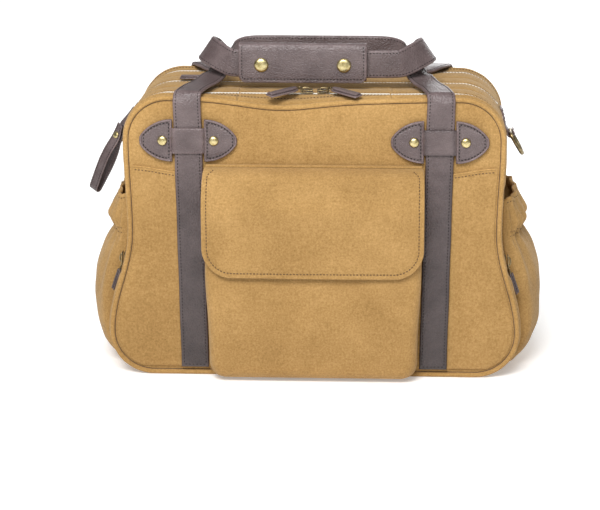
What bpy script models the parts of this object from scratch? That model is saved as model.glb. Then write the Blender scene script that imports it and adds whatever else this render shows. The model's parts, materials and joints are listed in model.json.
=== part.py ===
"""Canvas doctor bag with leather handles, three top zips, a flap pocket and two side pockets.

Frame: metres, +X to the viewer's right, +Y to the back, +Z up. The front faces -Y.
The origin is the centre of the underside.
"""
import math

import bmesh
import bpy
from mathutils import Matrix, Vector

# ---- driving dimensions of the body (metres) ----
HEIGHT = 0.288            # over the piping, bottom to top
DEPTH = 0.190             # over the front and rear piping
HALF_BOTTOM = 0.208       # half width at the widest place, low down
HALF_WAIST = 0.188        # half width where the sides draw in
HALF_TOP = 0.191          # half width under the top corners
R_BOTTOM = 0.045
R_TOP = 0.045
WAIST_Z = 0.150
GAP = 0.0003              # left between pieces that touch
PIPE_R = 0.0026
CLOTH = 0.0026            # canvas with its lining
PIPE_Y = DEPTH / 2 - PIPE_R
PANEL_INSET = 2 * PIPE_R + GAP
PANEL_FRONT = DEPTH / 2
PANEL_BACK = PANEL_FRONT - CLOTH
SHELL_INSET = 0.001
SHELL_HALF = PIPE_Y - PIPE_R - GAP
BASE_HALF = 0.150         # half length of the base panel
BOARD_LOW = CLOTH + 0.0015
BOARD_T = 0.002

# ---- top: zips, strips and the lips that fold open ----
TOP_FACE = HEIGHT - SHELL_INSET
TOP_UNDER = TOP_FACE - CLOTH
SIDE_ZIP_Y = 0.067        # the front and rear zips lie this far from the middle
LIP_HINGE_OUT = 0.035
LIP_HINGE_IN = 0.031
DIVIDER_HALF = 0.0012
SHORT_LIP = 0.075         # half length of the front and rear lips
LONG_LIP = 0.098          # half length of the main lips
LIP_GAP = 0.002

# ---- straps, tabs and rivets ----
STRAP_W = 0.028
LEATHER = 0.0032
STRIP_X_TOP = 0.126
STRIP_X_BOTTOM = 0.1205
STRIP_LOW = 0.009
STRIP_HIGH = 0.281
TAB_Z = 0.243
TAB_HALF_L = 0.049
TAB_HALF_H = 0.0215
TAB_PLATE = 0.0022
BAND_T = 0.0024
BAND_HALF_X = 0.0172
BAND_HALF_Z = 0.013
RIVET_R = 0.005
RIVET_H = 0.0024
RIVET_OFF = 0.0256

# ---- flap pocket ----
POCKET_HALF = 0.1045
POCKET_OUT = 0.0275       # how far its front stands off the panel
POCKET_LOW = 0.003
POCKET_HIGH = 0.186
POCKET_BACK_HIGH = 0.207
FLAP_HALF = 0.1105
FLAP_HINGE_Z = 0.2165
FLAP_HINGE_Y = -(PANEL_FRONT + 0.0045)
FLAP_LOW = 0.110
FLAP_CORNER = 0.030
MAGNET_R = 0.007
MAGNET_Z = 0.135
MAGNET_T = 0.0012

# ---- handles ----
GRIP_Y = 0.048
GRIP_Z = 0.313
HANDLE_T = 0.0036
# Left half of each handle, from the panel's top edge to the middle of the grip. Both are given
# on the front side; the rear one is mirrored. The turns are (place on the route, degrees).
FRONT_ROUTE = (
    (-0.1250, -0.0920, 0.2910), (-0.1200, -0.0700, 0.2925), (-0.1115, -0.0480, 0.2940),
    (-0.1045, -0.0300, 0.2985), (-0.1000, -0.0160, 0.3055), (-0.1010, -0.0065, 0.3130),
    (-0.1075, -0.0060, 0.3200), (-0.1125, -0.0150, 0.3240), (-0.1100, -0.0270, 0.3235),
    (-0.1005, -0.0390, 0.3200), (-0.0900, -0.0460, 0.3155), (-0.0800, -0.0480, 0.3135),
    (-0.0400, -0.0480, 0.3130), (0.0000, -0.0480, 0.3130),
)
FRONT_TURNS = ((0.0, 0), (2.75, 0), (4.0, 30), (5.0, 75), (6.0, 115), (7.0, 125), (8.0, 122),
               (9.0, 108), (10.0, 96), (11.0, 90), (13.0, 90))
REAR_ROUTE = (
    (-0.1250, -0.0920, 0.2910), (-0.1190, -0.0720, 0.2925), (-0.1100, -0.0560, 0.2940),
    (-0.0990, -0.0440, 0.2995), (-0.0890, -0.0360, 0.3070), (-0.0790, -0.0320, 0.3135),
    (-0.0680, -0.0305, 0.3160), (-0.0500, -0.0300, 0.3165), (-0.0200, -0.0300, 0.3165),
    (0.0000, -0.0300, 0.3165),
)
REAR_TURNS = ((0.0, 0), (1.25, 0), (3.0, 35), (4.0, 60), (5.0, 82), (6.0, 90), (9.0, 90))
WRAP_X = -0.013
WRAP_HALF = 0.0645
WRAP_LOW = 0.2955
WRAP_TOP = 0.3306
WRAP_T = 0.0021
SNAP_R = 0.00725
SNAP_H = 0.0026
SNAP_OFF = 0.0415

# ---- side pockets, rings and the loop strap ----
SIDE_POCKET_HALF = 0.062
SIDE_POCKET_T = 0.0025
RING_Z = 0.236
RING_X = 0.1985
RING_WIRE = 0.002
RING_HALF_W = 0.015
RING_DROP = 0.025
RING_TILT = math.radians(30)
LOOP_Y = -0.036
LOOP_Z = 0.247
LOOP_TILT = math.radians(24)
LOOP_LENGTH = 0.074
LOOP_T = 0.002
LOOP_HALF_W = 0.006
LOOP_SPREAD = 0.0065
RING_TAB_T = 0.0018
RING_TAB_HALF = 0.0115
RING_TAB_TOP = 0.262

# ---- sliders and pulls ----
SLIDER_HALF_L = 0.0065
SLIDER_HALF_W = 0.0042
SLIDER_H = 0.0032
SLIDER_PARK = 0.009       # how far past the lips' ends the main and rear sliders rest
FRONT_SLIDER_X = 0.0085
PULL_W = 0.0105
PULL_T = 0.0032
PULL_LENGTH = 0.040
MAIN_PULL_LENGTH = 0.028
REAR_PULL_LENGTH = 0.030
SIDE_PULL_LENGTH = 0.028
PULL_SPLAY = math.radians(40)
GUSSET_ZIP_Y = -0.078
GUSSET_ZIP_LOW = 0.118
GUSSET_ZIP_HIGH = 0.182

# ---- side pockets: (height, how far the middle stands out from the bag's centre plane) ----
SIDE_POCKET_REACH = (
    (0.006, 0.208), (0.020, 0.223), (0.045, 0.232), (0.075, 0.234), (0.100, 0.232),
    (0.120, 0.225), (0.135, 0.215), (0.150, 0.218), (0.165, 0.215), (0.180, 0.209),
)

COLOURS = {
    "canvas": ((0.54, 0.33, 0.13, 1.0), 0.9, 0.0),
    "lining": ((0.42, 0.30, 0.18, 1.0), 0.9, 0.0),
    "leather": ((0.095, 0.066, 0.062, 1.0), 0.5, 0.0),
    "brass": ((0.62, 0.50, 0.26, 1.0), 0.3, 1.0),
    "antique_brass": ((0.25, 0.20, 0.12, 1.0), 0.4, 1.0),
    "board": ((0.20, 0.18, 0.15, 1.0), 0.7, 0.0),
}


# ---------------------------------------------------------------- scene helpers
def clear_scene():
    for thing in list(bpy.data.objects):
        bpy.data.objects.remove(thing, do_unlink=True)


def material_for(name, kind):
    colour, roughness, metallic = COLOURS[kind]
    material = bpy.data.materials.new(name)
    material.use_nodes = True
    shader = material.node_tree.nodes["Principled BSDF"]
    shader.inputs["Base Color"].default_value = colour
    shader.inputs["Roughness"].default_value = roughness
    shader.inputs["Metallic"].default_value = metallic
    return material


def add_piece(name, kind, bm, origin=(0.0, 0.0, 0.0), smooth=False):
    """Turn a bmesh given in world metres into an object whose origin is at the given point."""
    bmesh.ops.translate(bm, verts=bm.verts, vec=-Vector(origin))
    bmesh.ops.recalc_face_normals(bm, faces=bm.faces)
    mesh = bpy.data.meshes.new(name)
    bm.to_mesh(mesh)
    bm.free()
    if smooth:
        mesh.shade_smooth()
        mesh.set_sharp_from_angle(angle=math.radians(40))
    piece = bpy.data.objects.new(name, mesh)
    piece.location = origin
    piece.data.materials.append(material_for(name, kind))
    bpy.context.collection.objects.link(piece)
    return piece


def cut(piece, cutter, operation="DIFFERENCE"):
    cutter.hide_render = True
    cutter.display_type = "WIRE"
    modifier = piece.modifiers.new("cut", "BOOLEAN")
    modifier.operation = operation
    modifier.solver = "EXACT"
    modifier.object = cutter


# ---------------------------------------------------------------- shape helpers
def prism(outline, axis, low, high):
    """Closed prism: an outline in the two other axes (in X, Y, Z order), from low to high."""
    bm = bmesh.new()
    ends = []
    for level in (low, high):
        ring = []
        for first, second in outline:
            place = [first, second]
            place.insert(axis, level)
            ring.append(bm.verts.new(place))
        ends.append(ring)
    bm.faces.new(ends[0])
    bm.faces.new(ends[1])
    count = len(outline)
    for i in range(count):
        j = (i + 1) % count
        bm.faces.new((ends[0][i], ends[0][j], ends[1][j], ends[1][i]))
    return bm


def box(low, high):
    outline = [(low[0], low[1]), (high[0], low[1]), (high[0], high[1]), (low[0], high[1])]
    return prism(outline, 2, low[2], high[2])


def skin_rings(rings, closed=False):
    """Closed solid through rings of equal length; open runs get end caps."""
    bm = bmesh.new()
    rows = [[bm.verts.new(p) for p in ring] for ring in rings]
    count = len(rows[0])
    last = len(rows) if closed else len(rows) - 1
    for i in range(last):
        here, there = rows[i], rows[(i + 1) % len(rows)]
        for j in range(count):
            k = (j + 1) % count
            bm.faces.new((here[j], here[k], there[k], there[j]))
    if not closed:
        bm.faces.new(rows[0])
        bm.faces.new(rows[-1])
    return bm


def arc(centre, radius, start, end, steps):
    """Points on a circle, both ends included, angles in degrees."""
    points = []
    for i in range(steps + 1):
        angle = math.radians(start + (end - start) * i / steps)
        points.append((centre[0] + radius * math.cos(angle), centre[1] + radius * math.sin(angle)))
    return points


def offset(points, distance, closed=True):
    """Move an outline's points sideways along their mitred normals (to the left when positive)."""
    moved = []
    count = len(points)
    for i, point in enumerate(points):
        before = points[(i - 1) % count] if closed or i > 0 else None
        after = points[(i + 1) % count] if closed or i < count - 1 else None
        here = Vector(point)
        sides = []
        if before is not None:
            sides.append((here - Vector(before)).normalized())
        if after is not None:
            sides.append((Vector(after) - here).normalized())
        run = sum(sides, Vector((0.0, 0.0))).normalized()
        normal = Vector((-run.y, run.x))
        stretch = 1.0 / max(0.5, sides[0].dot(run))
        moved.append(tuple(here + normal * distance * stretch))
    return moved


def sheet_outline(path, thickness):
    """Closed outline of a thin sheet that follows a 2-D path."""
    left = offset(path, thickness / 2, closed=False)
    right = offset(path, -thickness / 2, closed=False)
    return left + right[::-1]


def smooth_path(points, steps):
    """Catmull-Rom curve through the points, in any number of dimensions."""
    padded = [points[0]] + list(points) + [points[-1]]
    result = []
    for i in range(1, len(padded) - 2):
        p0, p1, p2, p3 = (Vector(p) for p in padded[i - 1:i + 3])
        for step in range(steps):
            t = step / steps
            result.append(
                0.5 * (2 * p1 + (p2 - p0) * t + (2 * p0 - 5 * p1 + 4 * p2 - p3) * t ** 2
                       + (3 * p1 - p0 - 3 * p2 + p3) * t ** 3)
            )
    result.append(Vector(points[-1]))
    return result


def tube(path, radius, sides, across, closed=True):
    """Round bar along a path that lies in the plane whose normal is `across`."""
    rings = []
    count = len(path)
    across = Vector(across)
    for i, point in enumerate(path):
        before = path[(i - 1) % count] if closed or i > 0 else path[i]
        after = path[(i + 1) % count] if closed or i < count - 1 else path[i]
        run = (Vector(after) - Vector(before)).normalized()
        side = run.cross(across).normalized()
        ring = []
        for k in range(sides):
            angle = 2 * math.pi * (k + 0.5) / sides
            ring.append(Vector(point) + radius * (math.cos(angle) * side + math.sin(angle) * across))
        rings.append(ring)
    return skin_rings(rings, closed)


def turned(profile, sides, centre, axis):
    """Solid of revolution: profile holds (radius, height) from the base up to the pole."""
    turn = Vector((0, 0, 1)).rotation_difference(Vector(axis)).to_matrix()
    rings = []
    for radius, height in profile:
        ring = []
        for k in range(sides):
            angle = 2 * math.pi * k / sides
            spot = Vector((radius * math.cos(angle), radius * math.sin(angle), height))
            ring.append(Vector(centre) + turn @ spot)
        rings.append(ring)
    return skin_rings(rings)


# ---------------------------------------------------------------- the bag's outline
def half_width(z):
    """Half width of the bag between its round corners."""
    if z < WAIST_Z:
        t = (z - R_BOTTOM) / (WAIST_Z - R_BOTTOM)
        return HALF_WAIST + (HALF_BOTTOM - HALF_WAIST) * (1 + math.cos(math.pi * t)) / 2
    t = (z - WAIST_Z) / (HEIGHT - R_TOP - WAIST_Z)
    return HALF_WAIST + (HALF_TOP - HALF_WAIST) * (1 - math.cos(math.pi * t)) / 2


def right_side():
    """The outline's right half from the base panel's end up to the top corner's end."""
    points = arc((HALF_BOTTOM - R_BOTTOM, R_BOTTOM), R_BOTTOM, -90, 0, 6)
    side_steps = 10
    span = HEIGHT - R_TOP - R_BOTTOM
    for i in range(1, side_steps):
        z = R_BOTTOM + span * i / side_steps
        points.append((half_width(z), z))
    points += arc((HALF_TOP - R_TOP, HEIGHT - R_TOP), R_TOP, 0, 90, 6)
    return points


def outline(inset=0.0):
    right = right_side()
    whole = right + [(-x, z) for x, z in reversed(right)]
    return offset(whole, inset)


def side_at(z, inset=0.0):
    """Half width of the shell at any height, round corners included."""
    if z < R_BOTTOM:
        drop = R_BOTTOM - z
        return HALF_BOTTOM - R_BOTTOM + math.sqrt(R_BOTTOM ** 2 - drop ** 2) - inset
    return half_width(min(z, HEIGHT - R_TOP)) - inset


# ---------------------------------------------------------------- shell
def build_panels():
    face = outline(PANEL_INSET)
    add_piece("front_panel", "canvas", prism(face, 1, -PANEL_FRONT, -PANEL_BACK))
    add_piece("rear_panel", "canvas", prism(face, 1, PANEL_BACK, PANEL_FRONT))


def build_piping():
    path = outline(PIPE_R)
    for name, y in (("front_piping", -PIPE_Y), ("rear_piping", PIPE_Y)):
        ring = [(x, y, z) for x, z in path]
        add_piece(name, "canvas", tube(ring, PIPE_R, 8, (0, 1, 0)), smooth=True)


def build_gussets():
    """Side walls that turn under to the base and over to the zips."""
    run = [(BASE_HALF + GAP, 0.0)] + right_side() + [(SHORT_LIP + LIP_GAP, HEIGHT)]
    middle = SHELL_INSET + CLOTH / 2
    wall = sheet_outline(offset(run, middle, closed=False), CLOTH)
    for name, sign in (("gusset_right", 1), ("gusset_left", -1)):
        shape = [(sign * x, z) for x, z in wall]
        piece = add_piece(name, "canvas", prism(shape, 1, -SHELL_HALF, SHELL_HALF))
        ends = sorted((sign * (SHORT_LIP - LIP_GAP), sign * (LONG_LIP + LIP_GAP)))
        low = (ends[0], -LIP_HINGE_IN - GAP, TOP_UNDER - 0.002)
        high = (ends[1], LIP_HINGE_IN + GAP, HEIGHT + 0.002)
        cut(piece, add_piece(name + "_cutter", "canvas", box(low, high)))


def build_base():
    low = (-BASE_HALF, -SHELL_HALF, 0.0)
    high = (BASE_HALF, SHELL_HALF, CLOTH)
    add_piece("base_panel", "canvas", box(low, high))
    low = (-BASE_HALF, -SHELL_HALF + 0.004, BOARD_LOW)
    high = (BASE_HALF, SHELL_HALF - 0.004, BOARD_LOW + BOARD_T)
    add_piece("base_board", "board", box(low, high))


def build_dividers():
    """Inner walls between the three compartments, standing on the base board."""
    floor = BOARD_LOW + BOARD_T + GAP
    inset = SHELL_INSET + CLOTH + 0.0008
    inner = [(x, max(z, floor)) for x, z in outline(inset)]
    centre = (LIP_HINGE_OUT + LIP_HINGE_IN) / 2
    for name, y in (("divider_front", -centre), ("divider_rear", centre)):
        shape = add_piece(name, "lining", prism(inner, 1, y - DIVIDER_HALF, y + DIVIDER_HALF))
        shape.data.shade_flat()


def build_top_strips():
    for name, sign in (("top_strip_front", -1), ("top_strip_rear", 1)):
        ends = sorted((sign * SHELL_HALF, sign * (SIDE_ZIP_Y + GAP)))
        low = (-SHORT_LIP - LIP_GAP + GAP, ends[0], TOP_UNDER)
        high = (SHORT_LIP + LIP_GAP - GAP, ends[1], TOP_FACE)
        add_piece(name, "canvas", box(low, high))


def build_lips():
    """Zip-edged strips of the top that fold down into the bag."""
    layout = (
        ("lip_front", -SIDE_ZIP_Y + GAP, -LIP_HINGE_OUT, -LIP_HINGE_OUT, SHORT_LIP),
        ("lip_main_front", -LIP_HINGE_IN, -GAP, -LIP_HINGE_IN, LONG_LIP),
        ("lip_main_rear", GAP, LIP_HINGE_IN, LIP_HINGE_IN, LONG_LIP),
        ("lip_rear", LIP_HINGE_OUT, SIDE_ZIP_Y - GAP, LIP_HINGE_OUT, SHORT_LIP),
    )
    for name, low_y, high_y, hinge_y, half in layout:
        shape = box((-half, low_y, TOP_UNDER), (half, high_y, TOP_FACE))
        add_piece(name, "canvas", shape, origin=(0.0, hinge_y, TOP_UNDER))


# ---------------------------------------------------------------- leather on the panels
def strip_x(z):
    t = (z - STRIP_LOW) / (STRIP_HIGH - STRIP_LOW)
    return STRIP_X_BOTTOM + (STRIP_X_TOP - STRIP_X_BOTTOM) * t


def build_strips():
    near = PANEL_FRONT + GAP
    for face, facing in (("front", -1), ("rear", 1)):
        for side, sign in (("left", -1), ("right", 1)):
            shape = []
            for z, edge in ((STRIP_LOW, -1), (STRIP_LOW, 1), (STRIP_HIGH, 1), (STRIP_HIGH, -1)):
                shape.append((sign * strip_x(z) + edge * STRAP_W / 2, z))
            ends = sorted((facing * near, facing * (near + LEATHER)))
            add_piece(f"{face}_strip_{side}", "leather", prism(shape, 1, *ends))


def spade(centre_x):
    """Outline of the cross tab: a leaf with a point at each end."""
    points = []
    steps = 10
    for edge in (1, -1):
        for i in range(steps):
            t = -1 + 2 * i / steps
            bulge = TAB_HALF_H * (1 - abs(t) ** 2.6) ** 0.75
            points.append((centre_x + edge * t * TAB_HALF_L, TAB_Z + edge * bulge))
    return points


def build_tabs():
    """Cross tabs whose middle band passes over the leather strip."""
    near = PANEL_FRONT + GAP
    band_in = near + LEATHER + GAP
    band_out = band_in + BAND_T
    for face, facing in (("front", -1), ("rear", 1)):
        for side, sign in (("left", -1), ("right", 1)):
            x = sign * strip_x(TAB_Z)
            ends = sorted((facing * near, facing * (near + TAB_PLATE)))
            tab = add_piece(f"{face}_tab_{side}", "leather", prism(spade(x), 1, *ends))
            ends = sorted((facing * (near + 0.0002), facing * band_out))
            low = (x - BAND_HALF_X, ends[0], TAB_Z - BAND_HALF_Z)
            high = (x + BAND_HALF_X, ends[1], TAB_Z + BAND_HALF_Z)
            cut(tab, add_piece("band_guide", "leather", box(low, high)), "UNION")
            ends = sorted((facing * (near - 0.002), facing * band_in))
            room = STRAP_W / 2 + 0.001
            low = (x - room, ends[0], TAB_Z - 2 * TAB_HALF_H)
            high = (x + room, ends[1], TAB_Z + 2 * TAB_HALF_H)
            cut(tab, add_piece("strip_cutter", "leather", box(low, high)))


def dome(radius, height):
    """Profile of a domed cap: a short rim, then a low crown."""
    profile = [(radius * 0.94, 0.0), (radius, height * 0.25)]
    for angle in (30, 55, 78):
        a = math.radians(angle)
        profile.append((radius * math.cos(a), height * (0.25 + 0.75 * math.sin(a))))
    return profile


def build_rivets():
    y = -(PANEL_FRONT + GAP + TAB_PLATE + GAP)
    for side, sign in (("left", -1), ("right", 1)):
        for place, offset_x in (("outer", sign * RIVET_OFF), ("inner", -sign * RIVET_OFF)):
            x = sign * strip_x(TAB_Z) + offset_x
            cap = turned(dome(RIVET_R, RIVET_H), 14, (x, y, TAB_Z), (0, -1, 0))
            add_piece(f"front_rivet_{side}_{place}", "brass", cap, smooth=True)


# ---------------------------------------------------------------- flap pocket
def build_pocket():
    """Bellows pocket: front, two sides and a bottom, open above and against the panel."""
    back = PANEL_FRONT + GAP
    front = back + POCKET_OUT
    side = [(-back, POCKET_LOW), (-front, POCKET_LOW), (-front, POCKET_HIGH), (-back, POCKET_BACK_HIGH)]
    pocket = add_piece("front_pocket", "canvas", prism(side, 0, -POCKET_HALF, POCKET_HALF))
    inner = front - CLOTH
    low = (-POCKET_HALF + CLOTH, -inner, POCKET_LOW + CLOTH)
    high = (POCKET_HALF - CLOTH, -back + 0.005, POCKET_BACK_HIGH + 0.01)
    cut(pocket, add_piece("pocket_cutter", "canvas", box(low, high)))
    y = -(front + GAP)
    disc = turned([(MAGNET_R, 0.0), (MAGNET_R, MAGNET_T)], 16, (0.0, y, MAGNET_Z), (0, -1, 0))
    add_piece("pocket_magnet", "antique_brass", disc)


def flap_profile():
    """Side view of the flap's middle layer, from its seam down to its free edge."""
    front = PANEL_FRONT + GAP + POCKET_OUT + 2 * MAGNET_T + 3 * GAP + CLOTH / 2
    seam = FLAP_HINGE_Y
    curve = [(seam, FLAP_HINGE_Z), (seam - 0.011, FLAP_HINGE_Z - 0.0055)]
    curve += [(seam - 0.021, FLAP_HINGE_Z - 0.0165), (-front, FLAP_HINGE_Z - 0.0325)]
    curve += [(-front, 0.160), (-front, FLAP_LOW)]
    return curve


def build_flap():
    profile = sheet_outline(flap_profile(), CLOTH)
    hinge = (0.0, FLAP_HINGE_Y, FLAP_HINGE_Z)
    flap = add_piece("pocket_flap", "canvas", prism(profile, 0, -FLAP_HALF, FLAP_HALF), origin=hinge)
    for sign in (-1, 1):
        corner = [(sign * (FLAP_HALF + 0.01), FLAP_LOW - 0.01)]
        centre = (sign * (FLAP_HALF - FLAP_CORNER), FLAP_LOW + FLAP_CORNER)
        start = 270 if sign > 0 else 180
        bend = arc(centre, FLAP_CORNER, start, start + 90, 6)
        if sign > 0:
            bend = [(centre[0], FLAP_LOW - 0.01)] + bend + [(FLAP_HALF + 0.01, centre[1])]
        else:
            bend = [(-FLAP_HALF - 0.01, centre[1])] + bend + [(centre[0], FLAP_LOW - 0.01)]
        cutter = prism(bend + corner, 1, -0.15, -0.10)
        cut(flap, add_piece("corner_cutter", "canvas", cutter))
    y = -(PANEL_FRONT + GAP + POCKET_OUT + GAP + MAGNET_T + GAP)
    disc = turned([(MAGNET_R, 0.0), (MAGNET_R, MAGNET_T)], 16, (0.0, y, MAGNET_Z), (0, -1, 0))
    add_piece("flap_magnet", "antique_brass", disc, origin=hinge)


# ---------------------------------------------------------------- side pockets
def side_pocket_reach(z):
    """How far the pocket's middle stands out from the bag's centre plane."""
    for (z0, x0), (z1, x1) in zip(SIDE_POCKET_REACH, SIDE_POCKET_REACH[1:]):
        if z <= z1:
            return x0 + (x1 - x0) * (z - z0) / (z1 - z0)
    return SIDE_POCKET_REACH[-1][1]


def build_side_pockets():
    levels = (0.006, 0.012, 0.020, 0.032, 0.045, 0.060, 0.075, 0.100, 0.120, 0.135, 0.150, 0.165, 0.180)
    columns = 10
    for name, sign in (("side_pocket_right", 1), ("side_pocket_left", -1)):
        bm = bmesh.new()
        outer = []
        inner = []
        for i, z in enumerate(levels):
            for rows, shrink in ((outer, 0.0), (inner, SIDE_POCKET_T)):
                level = z + (shrink if i == 0 else 0.0)
                wall = side_at(level) + 2 * GAP
                reach = side_pocket_reach(level) - wall - shrink
                row = []
                for k in range(columns + 1):
                    angle = math.pi * k / columns
                    x = wall + reach * math.sin(angle) ** 0.6
                    y = (SIDE_POCKET_HALF - shrink) * math.cos(angle)
                    row.append(bm.verts.new((sign * x, y, level)))
                rows.append(row)
        for i in range(len(levels) - 1):
            for rows in (outer, inner):
                for k in range(columns):
                    bm.faces.new((rows[i][k], rows[i][k + 1], rows[i + 1][k + 1], rows[i + 1][k]))
            for k in (0, columns):
                bm.faces.new((outer[i][k], outer[i + 1][k], inner[i + 1][k], inner[i][k]))
        for k in range(columns):
            bm.faces.new((outer[-1][k], outer[-1][k + 1], inner[-1][k + 1], inner[-1][k]))
        bm.faces.new(outer[0])
        bm.faces.new(inner[0])
        bm.faces.new((outer[0][0], outer[0][-1], inner[0][-1], inner[0][0]))
        add_piece(name, "canvas", bm)


# ---------------------------------------------------------------- handles
def turn_at(knots, place):
    """Angle in radians at a place on the route, eased between (place, degrees) knots."""
    for (p0, a0), (p1, a1) in zip(knots, knots[1:]):
        if place <= p1:
            t = (place - p0) / (p1 - p0)
            return math.radians(a0 + (a1 - a0) * t * t * (3 - 2 * t))
    return math.radians(knots[-1][1])


def ribbon(points, steps, turns, width, thickness):
    """Flat strap along points; its width turns from level towards upright as the knots say."""
    rings = []
    count = len(points)
    for i, point in enumerate(points):
        before = points[max(i - 1, 0)]
        after = points[min(i + 1, count - 1)]
        run = (after - before).normalized()
        level = run.cross(Vector((0, 0, 1))).normalized()
        upright = level.cross(run).normalized()
        turn = turn_at(turns, min(i, count - 1 - i) / steps)
        across = math.cos(turn) * level + math.sin(turn) * upright
        normal = run.cross(across).normalized()
        ring = []
        for a, b in ((-1, -1), (1, -1), (1, 1), (-1, 1)):
            ring.append(point + across * a * width / 2 + normal * b * thickness / 2)
        rings.append(ring)
    return rings


def build_handle(name, facing, route, turns):
    """One handle lying inwards over the top, pivoted where it meets the panel's top edge."""
    steps = 4
    half = smooth_path(route, steps)
    whole = half + [Vector((-p.x, p.y, p.z)) for p in reversed(half[:-1])]
    rings = ribbon(whole, steps, turns, STRAP_W, HANDLE_T)
    if facing > 0:
        rings = [[Vector((p.x, -p.y, p.z)) for p in ring] for ring in rings]
    add_piece(name, "leather", skin_rings(rings), origin=(0.0, facing * 0.093, 0.287))


def build_wrap():
    """Leather wrap round the front handle's grip, closed by a flap with two snaps."""
    inner_y = GRIP_Y - HANDLE_T / 2 - 0.0006 - WRAP_T / 2
    outer_y = GRIP_Y + HANDLE_T / 2 + 0.0006 + WRAP_T / 2
    low = WRAP_LOW + WRAP_T / 2
    high = WRAP_TOP - WRAP_T / 2
    bend = 0.0022
    path = [(-outer_y, high - 0.0035), (-outer_y, low + bend), (-outer_y + bend, low)]
    path += [(-inner_y - bend, low), (-inner_y, low + bend), (-inner_y, high - bend)]
    path += [(-inner_y - bend, high), (-outer_y - WRAP_T / 2, high)]
    hinge = (0.0, -0.093, 0.287)
    ends = (WRAP_X - WRAP_HALF, WRAP_X + WRAP_HALF)
    shape = prism(sheet_outline(path, WRAP_T), 0, *ends)
    add_piece("handle_wrap", "leather", shape, origin=hinge)
    near = outer_y + WRAP_T / 2 + GAP
    fold = (0.0, -near, WRAP_TOP)
    corner = 0.012
    face = [(WRAP_X + WRAP_HALF, WRAP_TOP), (WRAP_X - WRAP_HALF, WRAP_TOP)]
    foot = WRAP_LOW - 0.0005
    face += arc((ends[0] + corner, foot + corner), corner, 180, 270, 5)
    face += arc((ends[1] - corner, foot + corner), corner, 270, 360, 5)
    add_piece("handle_wrap_flap", "leather", prism(face, 1, -near - WRAP_T, -near), origin=fold)
    y = -near - WRAP_T - GAP
    for side, sign in (("left", -1), ("right", 1)):
        place = (WRAP_X + sign * SNAP_OFF, y, GRIP_Z)
        cap = turned(dome(SNAP_R, SNAP_H), 18, place, (0, -1, 0))
        add_piece(f"snap_cap_{side}", "brass", cap, origin=fold, smooth=True)


# ---------------------------------------------------------------- zips
def slider_body():
    """Zip slider along +X, standing on z = 0, with a bail block in the middle."""
    outline_top = [(-SLIDER_HALF_L, -SLIDER_HALF_W * 0.6), (0.0, -SLIDER_HALF_W)]
    outline_top += [(SLIDER_HALF_L, -SLIDER_HALF_W), (SLIDER_HALF_L, SLIDER_HALF_W)]
    outline_top += [(0.0, SLIDER_HALF_W), (-SLIDER_HALF_L, SLIDER_HALF_W * 0.6)]
    return prism(outline_top, 2, 0.0, SLIDER_H)


def pull_body(length):
    """Leather pull along +X from its joint, with a pointed metal-sized root and a round tip."""
    half = PULL_W / 2
    root = 0.0022
    outline_top = [(0.0, -root), (0.006, -root), (0.009, -half)]
    outline_top += arc((length - half, 0.0), half, -90, 90, 6)
    outline_top += [(0.009, half), (0.006, root), (0.0, root)]
    return prism(outline_top, 2, 0.0, PULL_T)


def place(bm, matrix):
    bmesh.ops.transform(bm, matrix=matrix, verts=bm.verts)
    return bm


def build_top_sliders():
    """Sliders on the level top; each pull lies on the bag from its own joint."""
    base_z = TOP_FACE + GAP
    pull_z = HEIGHT + 0.0012
    reach = SLIDER_HALF_W + 0.0008
    layout = (
        ("front_zip", "_left", -FRONT_SLIDER_X, -SIDE_ZIP_Y, math.pi + PULL_SPLAY, PULL_LENGTH),
        ("front_zip", "_right", FRONT_SLIDER_X, -SIDE_ZIP_Y, -PULL_SPLAY, PULL_LENGTH),
        ("main_zip", "", -LONG_LIP - SLIDER_PARK, 0.0, math.pi, MAIN_PULL_LENGTH),
        ("rear_zip", "", -SHORT_LIP - SLIDER_PARK, SIDE_ZIP_Y, math.pi / 2, REAR_PULL_LENGTH),
    )
    for zip_name, side, x, y, heading, length in layout:
        flip = math.pi if side == "_right" else 0.0
        turn = Matrix.Translation((x, y, base_z)) @ Matrix.Rotation(flip, 4, "Z")
        body = place(slider_body(), turn)
        add_piece(f"{zip_name}_slider{side}", "antique_brass", body, origin=(x, y, base_z))
        start = (x + reach * math.cos(heading) * 1.5, y + reach * math.sin(heading) * 1.3, pull_z)
        turn = Matrix.Translation(start) @ Matrix.Rotation(heading, 4, "Z")
        pull = place(pull_body(length), turn)
        joint = Vector(start) + Vector((0.0, 0.0, PULL_T))
        add_piece(f"{zip_name}_pull{side}", "leather", pull, origin=joint)


def build_side_zips():
    """Short zips low on the gussets near the front, sliders parked at their lower ends."""
    y = GUSSET_ZIP_Y
    for side, sign in (("left", -1), ("right", 1)):
        foot = Vector((sign * (side_at(GUSSET_ZIP_LOW) + 2 * GAP), y, GUSSET_ZIP_LOW))
        head = Vector((sign * (side_at(GUSSET_ZIP_HIGH) + 2 * GAP), y, GUSSET_ZIP_HIGH))
        run = (head - foot).normalized()
        out = Vector((0, 1, 0)).cross(run)
        out = out if out.x * sign > 0 else -out
        across = out.cross(run)
        turn = Matrix((run, across, out)).transposed().to_4x4()
        body = place(slider_body(), Matrix.Translation(foot) @ turn)
        add_piece(f"side_zip_slider_{side}", "antique_brass", body, origin=foot, smooth=False)
        joint = foot - run * (SLIDER_HALF_L + 0.001) + out * 0.0016
        end_z = joint.z - SIDE_PULL_LENGTH
        end = Vector((sign * (side_at(end_z) + 0.0022), y, end_z))
        run = (end - joint).normalized()
        out = Vector((0, 1, 0)).cross(run)
        out = out if out.x * sign > 0 else -out
        across = out.cross(run)
        turn = Matrix((run, across, out)).transposed().to_4x4()
        pull = place(pull_body(SIDE_PULL_LENGTH), Matrix.Translation(joint) @ turn)
        add_piece(f"side_zip_pull_{side}", "leather", pull, origin=joint + out * PULL_T)


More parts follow.
